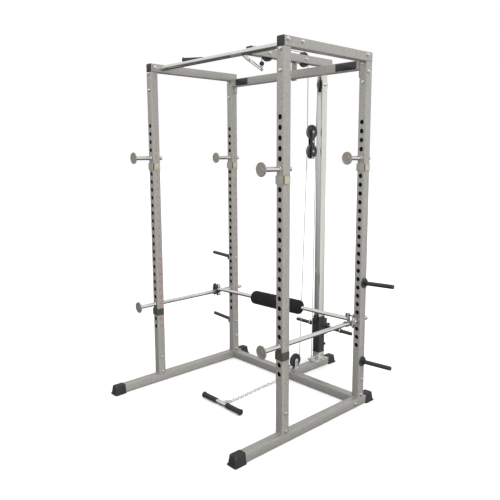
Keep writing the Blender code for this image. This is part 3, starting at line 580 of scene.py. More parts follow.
def link_tree():
    """Pieces at an even pitch along a path, every second one turned a quarter about it."""
    tree, source, target = new_tree(
        "Links along a path", ("Link", "NodeSocketObject", None), ("Pitch", "NodeSocketFloat", 0.015),
        ("Quarter turn", "NodeSocketFloat", QUARTER), ("Finish", "NodeSocketMaterial", None))
    piece = tree.nodes.new("GeometryNodeObjectInfo")
    path = tree.nodes.new("GeometryNodeMeshToCurve")
    spaced = add_node(tree, "GeometryNodeResampleCurve", mode="LENGTH")
    tangent_node = tree.nodes.new("GeometryNodeInputTangent")
    align = add_node(tree, "FunctionNodeAlignRotationToVector", axis="X")
    number = tree.nodes.new("GeometryNodeInputIndex")
    odd = add_node(tree, "ShaderNodeMath", operation="MODULO")
    odd.inputs[1].default_value = 2.0
    angle = add_node(tree, "ShaderNodeMath", operation="MULTIPLY")
    roll = tree.nodes.new("ShaderNodeCombineXYZ")
    euler = tree.nodes.new("FunctionNodeEulerToRotation")
    turn = add_node(tree, "FunctionNodeRotateRotation", rotation_space="LOCAL")
    spot = tree.nodes.new("GeometryNodeInstanceOnPoints")
    link_up(
        tree, (source, "Geometry", path, "Mesh"), (path, "Curve", spaced, "Curve"),
        (source, "Pitch", spaced, "Length"), (source, "Link", piece, "Object"),
        (tangent_node, "Tangent", align, "Vector"), (number, "Index", odd, 0), (odd, "Value", angle, 0),
        (source, "Quarter turn", angle, 1), (angle, "Value", roll, "X"), (roll, "Vector", euler, "Euler"),
        (align, "Rotation", turn, "Rotation"), (euler, "Rotation", turn, "Rotate By"),
        (spaced, "Curve", spot, "Points"), (piece, "Geometry", spot, "Instance"),
        (turn, "Rotation", spot, "Rotation"))
    end_tree(tree, source, target, spot)
    return tree


def grown(name, make_tree, tree_name, stock, unit, material, **values):
    """Runs a tree on a mesh with a unit mesh, and returns the result as a plain mesh."""
    tree = bpy.data.node_groups.get(tree_name) or make_tree()
    carrier, sample = shown(name, stock), shown(name + " unit", unit)
    modifier = carrier.modifiers.new("grow", "NODES")
    modifier.node_group = tree
    given = {"Fastener": sample, "Link": sample, "Finish": material, **values}
    for item in tree.interface.items_tree:
        if item.in_out == "INPUT" and item.name in given:
            modifier[item.identifier] = given[item.name]
    return smooth(baked(carrier, sample))


def linked(name, stock, unit, material, pitch, turn=QUARTER):
    """Units at a pitch along a path."""
    return grown(name, link_tree, "Links along a path", stock, unit, material,
                 **{"Pitch": pitch, "Quarter turn": turn})


def spots(places):
    """A mesh of loose points (position, way the fastener's head looks)."""
    mesh = bpy.data.meshes.new("spots")
    mesh.from_pydata([tuple(point) for point, way in places], [], [])
    turns = mesh.attributes.new("turn", "FLOAT_VECTOR", "POINT")
    for k, (point, way) in enumerate(places):
        turns.data[k].vector = tuple(facing(way).to_euler())
    return mesh


def through(heads, nuts, centre, reach, way):
    """Adds a bolt's head at its reach along a direction, and its nut on the other side."""
    centre, way = Vector(centre), Vector(way)
    heads.append((centre + way * reach, way))
    nuts.append((centre - way * reach, -way))


def fasteners(name, places, body, slot, unit=None, material=None, size=1.0):
    """One joined piece of like fasteners on a body."""
    material = material or zinc()
    mesh = grown(name, fastener_tree, "Fasteners", spots(places), unit or hex_bolt(), material, Size=size)
    put(name, mesh, material, body, slot)


def hex_outline(across):
    return hoop(across / math.sqrt(3), 6)


def washer(radius):
    thick, hole, edge = 0.0016, 0.0045, 0.0003
    profile = [(hole, 0.0), (radius - edge, 0.0), (radius, 0.0004), (radius, thick - 0.0004),
               (radius - edge, thick), (hole, thick)]
    return turned(profile, (0, 0, 0), UP, 24, wrap=True)


def hex_bolt():
    """Hexagon head with a crown, on a round washer; it stands on z = 0."""
    across = bpy.context.scene.cage_fittings.bolt
    head = slab(hex_outline(across), 0.0062, 0.0010, 3)
    head.transform(to(z=0.0016))
    crown = turned([(across * 0.44, 0.0), (across * 0.40, 0.0010), (0.0, 0.0013)], (0, 0, 0.0076), UP, 24)
    return joined(washer(across * 0.66), head, crown)


def hex_nut():
    """Nut on a washer with the bolt's end standing through it."""
    across = bpy.context.scene.cage_fittings.bolt
    nut = slab(hex_outline(across), 0.0075, 0.0009, 3)
    nut.transform(to(z=0.0016))
    stud = rounded_bar((0, 0, 0.004), (0, 0, 0.0115), across * 0.28, 0.0008, 20)
    return joined(washer(across * 0.66), nut, stud)


# ------------------------------------------------------------------ frame
def tube_between(node, axis):
    """The two ends of the middle line of a CAD tube along an axis."""
    a, b = ends(node)
    start, end = middle(node), middle(node)
    setattr(start, axis, getattr(a, axis))
    setattr(end, axis, getattr(b, axis))
    return start, end


def weld(centre, half=HALF):
    """A rippled bead round a tube's foot."""
    outline = round_box(half * 2 + 0.002, half * 2 + 0.002, 0.005, 6)
    mesh = bpy.data.meshes.new("bead path")
    edges = [(k, (k + 1) % len(outline)) for k in range(len(outline))]
    mesh.from_pydata([centre + Vector((x, y, 0)) for x, y in outline], edges, [])
    ripple = [(0.0006, -0.0024), (0.0020, -0.0014), (0.0026, 0.0), (0.0020, 0.0014), (0.0006, 0.0024)]
    drop = turned(ripple, (0, 0, 0), ACROSS, 8)
    return linked("bead", mesh, drop, paint(), 0.0024, 0.0)


def line_bore(piece, x, y):
    """Near-black on the inside of a post: bare steel, darkened further as painted shade for the shadowed
    inside of the tube.
    """
    piece.data.materials.append(bare_steel())
    inside = HALF - WALL * 0.75
    for face in piece.data.polygons:
        if max(abs(face.center.x - x), abs(face.center.y - y)) < inside:
            face.material_index = 1


def make_uprights():
    """Four posts with their holes, hole rims and foot welds."""
    radius = bpy.context.scene.cage_frame.hole / 2
    lip = [(radius - 0.0004, 0.0), (radius + 0.0010, 0.0), (radius + 0.0008, 0.00035), (radius, 0.0005)]
    drill = [(radius, -HALF - 0.01), (radius, HALF + 0.01)]
    cutters, lips = [], []
    for k in range(HOLES):
        level = TOP_HOLE - k * PITCH
        cutters.append(turned(drill, (0, 0, level), BACK, 32))
        for sign in (-1, 1):
            lips.append(turned(lip, (0, sign * HALF, level), (0, sign, 0), 32, wrap=True))
    post = carved(square_tube((0, 0, FOOT_Z), (0, 0, HEAD_Z)), cutters)
    rims = joined(*lips)
    for corner in CORNERS:
        x, y = POST[corner].xy
        line_bore(painted(f"Post {words(corner)}", moved(post, to(x, y)), f"upright_{corner}"), x, y)
        painted(f"Hole rims {words(corner)}", moved(rims, to(x, y)))
        painted(f"Foot weld {words(corner)}", weld(Vector((x, y, FOOT_Z + 0.0006))))


def numeral(number, size):
    """A number as a thin raised mesh, centred, facing +Z."""
    curve = bpy.data.curves.new("numeral", "FONT")
    curve.body = str(number)
    curve.size = size
    curve.align_x = curve.align_y = "CENTER"
    curve.extrude = 0.00012
    curve.resolution_u = 3
    return baked(shown("numeral", curve))


def make_numerals():
    """Hole numbers on the inner faces of the two left posts."""
    digits = [numeral(k + 1, 0.024) for k in range(HOLES)]
    red = ink("red numerals", (0.44, 0.035, 0.03))
    for corner in ("front_left", "rear_left"):
        x, y = POST[corner].x + HALF + 0.0001, POST[corner].y
        rows = [moved(digit, ON_SIDE, to(x, y, TOP_HOLE - k * PITCH)) for k, digit in enumerate(digits)]
        put(f"Hole numbers {words(corner)}", joined(*rows), red, "frame", "silver_paint")


def make_rails():
    """Base tubes, top tubes, crossmembers and the lat arm."""
    for name, node, axis in (
            ("Base tube left", "base_tube_left", "y"), ("Base tube right", "base_tube_right", "y"),
            ("Rear base tube", "rear_base_crossmember", "x"), ("Tower base tube", "tower_base_tube", "y"),
            ("Top tube left", "top_side_tube_left", "y"), ("Top tube right", "top_side_tube_right", "y")):
        painted(name, square_tube(*tube_between(node, axis)), node)

    start, end = tube_between("rear_top_crossmember", "x")
    level = high("rear_top_crossmember").z - HALF
    start.z = end.z = level
    lap, thick = 0.003, 0.005
    near, far = start.y - HALF + 0.001, start.y + HALF - 0.001
    plates = [brick((x, near, level - 0.070), (x + thick, far, level + HALF - 0.001))
              for x in (start.x, end.x - thick)]
    beam = square_tube(start + Vector((lap, 0, 0)), end - Vector((lap, 0, 0)))
    painted("Rear top beam", joined(beam, *plates), "rear_top_crossmember")

    start, end = tube_between("lat_arm", "y")
    cutters = []
    for name in ("lat_front_pulley", "lat_rear_pulley"):
        y = hub(name).y
        cutters.append(brick((-SLOT, y - SLOT_REACH, ARM_Z - 0.04), (SLOT, y + SLOT_REACH, ARM_Z + 0.04),
                             corner=0.0115))
    lap = Vector((0, 0.002, 0))
    arm = carved(square_tube(start + lap, end - lap), cutters)
    painted("Lat arm", arm, "lat_arm")


def end_cap(point, way):
    """A plastic plug whose crowned head covers a tube's end."""
    head = []
    for inset, height in ((0.0, 0.0), (0.0, 0.0022), (0.0008, 0.0032), (0.0022, 0.0040), (0.010, 0.0046)):
        size = TUBE - 2 * inset
        head.append([(x, y, height) for x, y in round_box(size, size, max(0.0045 - inset, 0.001))])
    return moved(skin(head), facing(way), to(*point))


def make_caps():
    """Plastic caps in the open ends of the top tubes and the arm."""
    for side in ("left", "right"):
        x, y, z = middle(f"top_side_tube_{side}")
        front = low(f"top_cap_{side}").y + 0.0045
        rear = high(f"top_side_tube_{side}").y - 0.0001
        put(f"Front cap {side}", end_cap((x, front, z), FORWARD), plastic(), "frame", "black_plastic",
            f"top_cap_{side}")
        put(f"Rear cap {side}", end_cap((x, rear, z), BACK), plastic(), "frame", "black_plastic")
    a, b = ends("lat_arm")
    for name, y, way in (("front", a.y + 0.0022, FORWARD), ("rear", b.y - 0.0022, BACK)):
        put(f"Arm {name} cap", end_cap((0, y, ARM_Z), way), plastic(), "frame", "black_plastic")


def make_feet():
    """Flared rubber feet with a stepped sole and ribs."""
    levels = ((0.0, 0.0010), (0.0010, 0.0), (0.0068, 0.0), (0.0080, 0.0010), (0.0086, 0.0032),
              (0.030, 0.0054), (0.0525, 0.0078), (0.0556, 0.0088), (0.0568, 0.0108))
    for place, sign in (("front_left", -1), ("front_right", -1), ("rear_left", 1), ("rear_right", 1),
                        ("tower", 1)):
        node = f"foot_{place}"
        a, b = ends(node)
        x = middle(node).x
        front, back = (b.y, a.y) if sign > 0 else (-a.y, -b.y)
        rings = []
        for z, inset in levels:
            toe = front - inset * 1.35
            heel = back + min(inset, 0.0005)
            outline = round_box(b.x - a.x - inset * 2, toe - heel, 0.007, 5)
            rings.append([(x + px, sign * (py + (toe + heel) / 2), z) for px, py in outline])
        ribs = []
        for k in range(4):
            z = 0.0125 + k * 0.0095
            inset = 0.0032 + (z - 0.0086) * 0.104
            rib = brick((x - 0.021, 0, z), (x + 0.021, 0.004, z + 0.0042), corner=0.0012)
            ribs.append(moved(rib, to(y=front - inset * 1.35 - 0.0030), Matrix.Scale(sign, 4, BACK)))
        put(words(node).capitalize(), joined(skin(rings), *ribs), rubber(), "frame", "black_rubber", node)


def make_bolts():
    """Every bolt and nut of the frame."""
    heads, nuts = [], []
    for corner in CORNERS:
        x, y = POST[corner].xy
        for z in (HEAD_Z - 0.0105, HEAD_Z - 0.1115):
            through(heads, nuts, (x, y, z), HALF, FORWARD)
        for z in (FOOT_Z + 0.018, FOOT_Z + 0.118):
            through(heads, nuts, (x, y, z), HALF, (1 if x > 0 else -1, 0, 0))
    bar, rear = middle("pullup_bar").y, POST["rear_right"].y
    for side, sign in SIDES:
        out, into = (sign, 0, 0), (-sign, 0, 0)
        outer = sign * (POST["front_right"].x + HALF)
        inner = sign * (POST["front_right"].x - HALF - 0.0055)
        level = middle(f"top_side_tube_{side}").z
        for y, z in ((bar - 0.052, level + 0.008), (bar + 0.052, level + 0.008),
                     (rear - 0.018, level + 0.008), (rear - 0.009, HEAD_Z - 0.055), (rear - 0.054, 0.030)):
            heads.append(((outer, y, z), out))
        for y, z in ((bar - 0.052, level + 0.002), (bar + 0.052, level + 0.002),
                     (rear, HEAD_Z - 0.0648), (rear, HEAD_Z - 0.0318)):
            nuts.append(((inner, y, z), into))
    for x in (-0.034, 0.034):
        for y in (TOWER.y - 0.058, TOWER.y + 0.042):
            heads.append(((x, y, FOOT_Z + 0.005), UP))
    for z in (FOOT_Z + 0.020, FOOT_Z + 0.045):
        through(heads, nuts, (0, TOWER.y + 0.004, z), HALF + 0.0045, ACROSS)
    for name in HIGH_PULLEYS:
        through(heads, nuts, hub(name), HALF, ACROSS)
    fasteners("Frame bolts", heads, "frame", "zinc_steel")
    fasteners("Frame nuts", nuts, "frame", "zinc_steel", unit=hex_nut())


def make_pullup():
    """Bright bar between two bolted end plates, with a lighter sleeve."""
    a, b = ends("pullup_bar")
    x, y, z = middle("pullup_bar")
    plate = slab(round_box(b.y - a.y, b.z - a.z, 0.008, 5), 0.005)
    plates = [moved(plate, ON_SIDE, to(x, y, z)) for x in (a.x, b.x - 0.005)]
    bar = rounded_bar((a.x + 0.003, y, z), (b.x - 0.003, y, z), 0.016)
    put("Pull-up bar", bar, chrome(), "frame", "chrome", "pullup_bar")
    painted("Pull-up bar plates", joined(*plates))
    sleeve = [(0.0161, 0.0), (0.0166, 0.0004), (0.0166, 0.0896), (0.0161, 0.09)]
    put("Pull-up bar sleeve", turned(sleeve, (0.13, y, z), ACROSS), bright_plate(), "frame", "chrome")


def make_badges():
    """Blank dark plates on the rear top beam."""
    face = low("rear_top_crossmember").y
    level = high("rear_top_crossmember").z - HALF
    for side, first, last in (("left", -0.510, -0.385), ("right", 0.381, 0.532)):
        plate = slab(round_box(last - first, 0.043, 0.004, 4), 0.0012, 0.0004)
        plate = moved(plate, ON_FRONT, to((first + last) / 2, face, level))
        put(f"Badge plate {side}", plate, black_paint(), "frame", "black_paint")


def make_tower():
    """Chrome guide tube, its foot bracket, its arm bracket and the slot for the pulley."""
    y, z = TOWER.y, hub("tower_top_pulley").z
    a, b = ends("tower_tube")
    slot = brick((-SLOT, y - 0.04, z - SLOT_REACH), (SLOT, y + 0.04, z + SLOT_REACH), corner=0.003)
    tube = carved(square_tube((0, y, a.z), (0, y, b.z)), [slot])
    put("Tower tube", tube, chrome(), "frame", "chrome", "tower_tube")

    room, wall = HALF + 0.0006, 0.004
    a, b = ends("tower_base_bracket")
    socket = square_tube((0, y, a.z + 0.001), (0, y, b.z), 0.006, (room + wall) * 2, wall)
    base = moved(slab(round_box(b.x - a.x, 0.122, 0.006, 4), 0.005), to(0, y - 0.009, a.z))
    lug = brick((-0.006, a.y, a.z + 0.002), (0.006, y - room - 0.002, a.z + 0.031))
    put("Tower foot bracket", joined(socket, base, lug), bright_plate(), "frame", "silver_paint",
        "tower_base_bracket")
    bead = weld(Vector((0, y, a.z + 0.0058)), room + wall)
    painted("Tower foot weld", bead)

    a, b = ends("arm_bracket")
    thick = 0.006
    post = brick(a, (b.x, a.y + thick, b.z), corner=0.0015)
    shelf = brick((a.x, a.y, b.z - thick), b, corner=0.0015)
    rib = brick((-0.003, a.y + 0.002, a.z + 0.012), (0.003, b.y - 0.010, b.z - 0.003))
    painted("Arm bracket", joined(post, shelf, rib), "arm_bracket")


def make_low_bracket():
    """Two round-topped plates that hold the low pulley and the guide roller."""
    plates, heads, nuts = [], [], []
    for name, half in (("low_pulley", 0.0145), ("low_guide_roller", 0.0095)):
        spot = hub(name)
        outline = [(half, FOOT_Z - spot.z), *bow(half, 0.0, math.pi, 14), (-half, FOOT_Z - spot.z)]
        tab = moved(slab(outline, 0.004, 0.0006), ON_SIDE)
        plates.append([moved(tab, to(x, spot.y, spot.z)) for x in (-0.015, 0.011)])
        through(heads, nuts, spot, 0.015, ACROSS)
    a, b = ends("low_pulley_bracket")
    sole = slab(round_box(b.x - a.x, b.y - a.y, 0.005, 4), 0.004)
    sole.transform(to(0, (a.y + b.y) / 2, FOOT_Z))
    tabs = [tab for pair in zip(*plates) for tab in pair]
    put("Low pulley bracket", joined(sole, *tabs), bright_plate(), "frame", "zinc_steel",
        "low_pulley_bracket")
    fasteners("Low pulley bolts", heads, "frame", "zinc_steel", size=0.8)
    fasteners("Low pulley nuts", nuts, "frame", "zinc_steel", unit=hex_nut(), size=0.8)


def make_plate_pegs():
    """Black storage pegs on round flanges."""
    flange = [(0.0288, 0.0), (0.0300, 0.0012), (0.0300, 0.0066), (0.0288, 0.0080), (0.0190, 0.0084)]
    tilt = math.radians(3.0)
    nuts = []
    for side, sign in SIDES:
        for level in ("upper", "lower"):
            node = f"plate_peg_{side}_{level}"
            a, b = ends(node)
            root = Vector((a.x if sign > 0 else b.x, (a.y + b.y) / 2, a.z + PEG_RISE))
            way = Vector((sign * math.cos(tilt), 0, math.sin(tilt)))
            plate = turned(flange, root, (sign, 0, 0))
            start = root + Vector((sign * 0.004, 0, 0))
            peg = rounded_bar(start, start + way * 0.200, PEG, 0.003)
            ring = [start + Vector((sign * 0.005, y, z)) for y, z in hoop(PEG + 0.001, 24)]
            put(f"Storage peg {side} {level}", joined(plate, peg, swept(ring, 0.0022, 8, loop=True)),
                black_paint(), "frame", "black_paint", node)
            nuts.append(((sign * (POST["rear_right"].x - HALF), root.y, root.z), (-sign, 0, 0)))
    fasteners("Storage peg nuts", nuts, "frame", "zinc_steel", unit=hex_nut())


# ------------------------------------------------------------------ hooks and safety bars
def saddle(x, face, level):
    """Pressed band that hugs a post below a rod, with a strap up to the rod."""
    grip, thick, bend, soft = HALF + 0.0005, 0.004, 0.005, 0.0006
    bottom, top, strap_half = -0.074, -0.031, 0.0145
    outer = grip + thick
    reach, front = face + 0.046, face - 0.0003
    outline = [(-outer, reach)]
    for side, first in ((-1, math.pi), (1, 1.5 * math.pi)):
        outline += [(side * (outer - bend) + px, front - thick + bend + py)
                    for px, py in bow(bend, first, first + QUARTER, 6)]
    outline += [(outer, reach), (grip, reach), (grip, front), (-grip, front), (-grip, reach)]
    inner = [(px * (1 - soft / outer), py) for px, py in outline]
    rings = [[(px, py, level + z) for px, py in points] for points, z in (
        (inner, bottom), (outline, bottom + soft), (outline, top - soft), (inner, top))]
    crown = [(px, 0.0015 + py) for px, py in bow(strap_half, 0.0, math.pi, 14)]
    strap = slab([(strap_half, -0.036), *crown, (-strap_half, -0.036)], thick - 0.0004, 0.0006)
    strap = moved(strap, ON_FRONT, to(y=front - 0.0001, z=level))
    return moved(joined(skin(rings, angle=35), strap), to(x=x))


def dished_disc(radius, thick):
    """Outline of a disc with a raised rim and a shallow dish, from its back face."""
    dish = thick - 0.0012
    return [(0.0, 0.0), (radius - 0.001, 0.0), (radius, 0.001), (radius, dish),
            (radius - 0.0005, thick - 0.0004), (radius - 0.0014, thick), (radius - 0.0040, thick),
            (radius - 0.0052, dish), (0.0135, dish), (0.0125, thick), (0.0, thick)]


def held_rod(name, node, corner, level, body, saddle_finish):
    """A rod through a post, with a front disc, a saddle and a collar weld."""
    x, face, tail = POST[corner].x, POST[corner].y - HALF, high(node).y
    back = face - DISC_OUT

    def add(part, mesh, material, *nodes):
        put(f"{name} {part}", mesh, material, body, "chrome", *nodes)

    add("rod", rounded_bar((x, back - 0.003, level), (x, tail, level), ROD, 0.0022, 40), chrome(), node)
    add("disc", turned(dished_disc(0.0358, 0.006), (x, back, level), FORWARD, 64), brushed_disc())
    add("saddle", saddle(x, face, level), saddle_finish)
    for place, y in (("front", back + 0.0015), ("saddle", face - 0.0048)):
        ring = [(x + px, y, level + pz) for px, pz in hoop(ROD + 0.0008, 28)]
        add(f"{place} weld", swept(ring, 0.0016, 8, loop=True), bright_plate())
    groove = [(ROD - 0.0002, 0.0), (ROD + 0.0003, 0.0004), (ROD + 0.0003, 0.0022), (ROD - 0.0002, 0.0026)]
    add("end ring", turned(groove, (x, tail - 0.009, level), BACK, 40), zinc())


def make_hooks():
    """Four bar hooks, each a rod with a disc, a saddle and a wear patch."""
    patch = slab(round_box(0.034, 0.036, 0.005, 5), 0.0006, 0.0002)
    outer = HALF + 0.0045
    for corner in CORNERS:
        name, body, level = f"Hook {words(corner)}", f"hook_{corner}", HOOK_Z[corner]
        held_rod(name, f"j_hook_{corner}", corner, level, body, paint())
        x, face = POST[corner].x, POST[corner].y - HALF
        for side, sign in SIDES:
            lay = Matrix.Scale(sign, 4, ACROSS) @ Matrix.Scale(sign, 4, BACK) @ ON_SIDE
            piece = moved(patch, lay, to(x + sign * outer, face + 0.024, level - 0.0535))
            put(f"{name} {side} patch", piece, ink("tan patch", (0.36, 0.31, 0.21)), body, "chrome")
        seam = brick((x + outer - 0.0006, face - 0.0046, level - 0.0745),
                     (x + outer + 0.0004, face + 0.0022, level - 0.0325), 0.0002)
        put(f"{name} corner seam", seam, plastic(), body, "chrome")


def make_safety_bars():
    """Two safety bars with discs and dark saddles."""
    for side in ("left", "right"):
        held_rod(f"Safety bar {side}", f"safety_bar_{side}", f"front_{side}", SAFETY_Z, f"safety_{side}",
                 dark_paint())


# ------------------------------------------------------------------ leg roller
def make_leg_roller():
    """Bright bar with clamp plates and knobs on both safety bars."""
    turn = to(*ROLLER) @ Matrix.Rotation(math.atan2(ROLLER_WAY.y, ROLLER_WAY.x), 4, "Z")
    a, b = ends("leg_roller_frame")
    reach = POST["front_right"].x / ROLLER_WAY.x
    room, thick, lap = ROD + 0.0022, 0.005, 0.002
    centre, tall = (a.z + b.z) / 2 - ROLLER.z, b.z - a.z
    bolt = tall / 2 - 0.012
    cap = [(0.0095, 0.0), (0.0095, 0.0016), (0.0080, 0.0030), (0.0, 0.0036)]
    knob = [(0.004, 0.0), (0.0105, 0.0), (0.0118, 0.0012), (0.0120, 0.0028), (0.0120, 0.0062),
            (0.0112, 0.0078), (0.0085, 0.0088), (0.0, 0.0092)]
    rim = [(0.0, 0.0), (0.0150, 0.0), (0.0156, 0.0008), (0.0156, 0.0062), (0.0150, 0.0070), (0.0125, 0.0070),
           (0.0118, 0.0058), (0.0, 0.0058)]
    grip = [(0.0050, 0.0), (0.0085, 0.0010), (0.0145, 0.0060), (0.0158, 0.0090), (0.0158, 0.0255),
            (0.0142, 0.0282), (0.0, 0.0290)]

    def add(name, mesh, material, *nodes):
        put(f"Leg roller {name}", moved(mesh, turn), material, "leg_roller", "chrome", *nodes)

    inner = reach - room - lap
    add("bar", rounded_bar((-inner, 0, 0), (inner, 0, 0), ROD), chrome(), "leg_roller_frame")
    plate = slab(round_box(0.031, tall, 0.010, 6), thick, 0.0008)
    for side, sign in SIDES:
        plates = []
        for near, far in ((-room - thick, -room), (room, room + thick)):
            x = min(sign * (reach + near), sign * (reach + far))
            plates.append(moved(plate, ON_SIDE, to(x, 0, centre)))
        add(f"clamp {side}", joined(*plates), black_paint() if side == "left" else paint())
        bolts = []
        inside, outside = sign * (reach - room - 0.016), sign * (reach + room + thick)
        for z in (centre - bolt, centre + bolt):
            bolts.append(rounded_bar((inside, 0, z), (outside, 0, z), 0.004, 0.0005, 16))
            bolts.append(turned(cap, (outside - sign * 0.0004, 0, z), (sign, 0, 0), 28))
            if side == "left" or z > centre:
                bolts.append(turned(knob, (inside + sign * 0.0052, 0, z), (-sign, 0, 0), 32))
        add(f"knobs {side}", joined(*bolts), chrome() if side == "left" else dark_paint())
        add(f"end ring {side}", turned(rim, (outside, 0, 0), (sign, 0, 0), 40), chrome())
    add("hand knob", turned(grip, (reach - room - thick, 0, centre - bolt), (-1, 0, 0), 36), plastic())
    make_foam(turn)


def make_foam(turn):
    """Firm foam tube with rolled ends and a slight crown."""
    radius = (high("foam_roller").z - low("foam_roller").z) / 2
    half, rolled = 0.205, 0.019
    profile = [(ROD + 0.0012, -half), (radius * 0.50, -half + 0.0003)]
    for k in range(9):
        angle = QUARTER * k / 8
        profile.append((radius - rolled + rolled * math.sin(angle),
                        -half + rolled - 0.0187 * math.cos(angle)))
    mirror = [(r, -h) for r, h in reversed(profile)]
    for k in range(1, 8):
        crown = 0.0006 * math.sin(math.pi * k / 8)
        profile.append((radius + crown, -half + rolled + k / 8 * 2 * (half - rolled)))
    pad = turned(profile + mirror, (0, 0, 0), ACROSS, 56, wrap=True)
    put("Foam roller", moved(pad, turn), foam(), "foam", "black_foam", "foam_roller")


# ------------------------------------------------------------------ pulleys
def groove_wheel(radius, half, deep, bore):
    """Outline of a moulded wheel with a round groove, a web and a boss."""
    side = [(bore, -half)]
    side += [(radius * share, -half + step) for share, step in (
        (0.27, 0.0), (0.29, 0.0008), (0.31, 0.003), (0.66, 0.003), (0.69, 0.0012), (0.72, 0.0002),
        (0.955, 0.0002), (0.99, 0.0010), (1.0, 0.0020))]
    side += [(radius - deep * share, -half * rise)
             for share, rise in ((0.25, 0.56), (0.70, 0.36), (0.95, 0.22))]
    return side + [(radius - deep, 0.0)] + [(r, -h) for r, h in reversed(side)]


def make_pulleys():
    """Grooved wheels with ribs and steel bearing faces."""
    ring = [(0.0062, -0.0094), (0.0108, -0.0094), (0.0112, -0.0088)]
    ring += [(r, -h) for r, h in reversed(ring)]
    for node in WHEELS:
        body, spot, title = f"{node}_body", hub(node), words(node).capitalize()
        radius = (high(node).z - low(node).z) / 2
        small = radius < 0.03
        parts = [turned(groove_wheel(radius, 0.009, 0.003 if small else 0.0072, 0.0058), spot, ACROSS, 64,
                        wrap=True)]
        for k in range(0 if small else 6):
            for x in (-0.0071, 0.0071):
                rib = brick((x - 0.0012, -0.0014, radius * 0.28), (x + 0.0012, 0.0014, radius * 0.71),
                            0.0004)
                parts.append(moved(rib, Matrix.Rotation(FULL * k / 6, 4, "X"), to(*spot)))
        put(title, joined(*parts), plastic(), body, "black_plastic", node)
        if not small:
            bearing = turned(ring, spot, ACROSS, 40, wrap=True)
            put(f"{title} bearing", bearing, zinc(), body, "zinc_steel")
    for node in HIGH_PULLEYS:
        spot, out = hub(node), Vector((HALF + 0.003, 0, 0))
        axle = rounded_bar(spot - out, spot + out, 0.005, 0.0005, 24)
        put(f"{words(node).capitalize()} axle", axle, zinc(), "frame", "zinc_steel")


def make_float_block():
    """Black side plates with their bolts, holding the two floating wheels."""
    body, half, reach = "float_block", 0.016, 0.0145
    a, b = ends("floating_block")
    y, top = (a.y + b.y) / 2, b.z - half
    bottom = a.z - top
    outline = [(half, bottom + 0.004), *bow(half, 0.0, math.pi, 14), (-half, bottom + 0.004),
               (-0.012, bottom), (0.012, bottom)]
    plate = moved(slab(outline, 0.004, 0.0006), ON_SIDE)
    wheels = (hub("float_wheel_upper").z, hub("float_wheel_lower").z)
    mid = sum(wheels) / 2
    plates = [moved(plate, to(x, y, top)) for x in (-reach, 0.0105)]
    spacer = rounded_bar((-0.0112, y, mid), (0.0112, y, mid), 0.006, 0.0005, 24)
    put("Float block plates", joined(*plates, spacer), black_paint(), body, "black_paint", "floating_block")
    heads, nuts = [], []
    for z in (*wheels, mid):
        through(heads, nuts, (0, y, z), reach, ACROSS)
    fasteners("Float block bolts", heads, body, "zinc_steel", size=0.72)
    fasteners("Float block nuts", nuts, body, "zinc_steel", unit=hex_nut(), size=0.72)
    pins = [((reach, y + dy, a.z + 0.008), ACROSS) for dy in (-0.008, 0.008)]
    fasteners("Float block pins", pins, body, "zinc_steel", size=0.5)
    axles = [rounded_bar((-0.0155, y, z), (0.0155, y, z), 0.005, 0.0005, 24) for z in wheels]
    put("Float block axles", joined(*axles), zinc(), body, "zinc_steel")


# ------------------------------------------------------------------ cables
def guide_way():
    """Direction in which the lower cable leaves the guide roller."""
    return Vector((0, math.cos(GUIDE_LEAN), math.sin(GUIDE_LEAN)))


def leave_guide():
    """Where it leaves the roller."""
    guide, way = hub("low_guide_roller"), guide_way()
    return Vector((0, guide.y + GUIDE_PATH * way.z, guide.z - GUIDE_PATH * way.y))


def tangent(a, b):
    """End points of the straight run between two stops (y, z, radius, turn)."""
    (ya, za, ra, ta), (yb, zb, rb, tb) = a, b
    span = math.hypot(yb - ya, zb - za)
    heading = math.atan2(zb - za, yb - ya) - math.asin((tb * rb - ta * ra) / span)
    ny, nz = -math.sin(heading), math.cos(heading)
    return (ya - ta * ra * ny, za - ta * ra * nz), (yb - tb * rb * ny, zb - tb * rb * nz)


def round_wheel(stop, first, last):
    """Cable's middle line round a stop, from one point to another."""
    y, z, radius, turn = stop
    begin = math.atan2(first[1] - z, first[0] - y)
    sweep = (math.atan2(last[1] - z, last[0] - y) - begin) * turn % FULL
    count = max(3, math.ceil(sweep / math.radians(5)))
    return [(0, y + py, z + pz) for py, pz in bow(radius, begin, begin + turn * sweep, count)]


def straight(a, b):
    """Points of a straight run, about 15 mm apart."""
    count = max(8, math.ceil(math.dist(a, b) / 0.015))
    return [(0, a[0] + (b[0] - a[0]) * k / count, a[1] + (b[1] - a[1]) * k / count)
            for k in range(count + 1)]


def run_cable(name, node, stops, bodies):
    """A taut cable over wheels: a bend on each wheel, and runs that stretch between bodies."""
    runs = [tangent(a, b) for a, b in zip(stops, stops[1:])]
    fixed = []
    for k, (a, b) in enumerate(runs):
        first, second = bodies[k], bodies[k + 1]
        points = straight(a, b)
        if first == second:
            fixed.append((first, points))
            continue
        mesh = swept(points, CABLE, 12)
        mesh.name = f"{name}_run_{k + 1}".replace(" ", "_")
        mesh.materials.append(rope())
        piece = shown(mesh.name, mesh)
        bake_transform(piece)
        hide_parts(node)
    for k in range(1, len(stops) - 1):
        fixed.append((bodies[k], round_wheel(stops[k], runs[k - 1][1], runs[k][0])))
    for body in sorted({body for body, points in fixed}):
        parts = [swept(points, CABLE, 12) for owner, points in fixed if owner == body]
        put(f"{name} on {words(body)}", joined(*parts), rope(), body, "steel_cable")


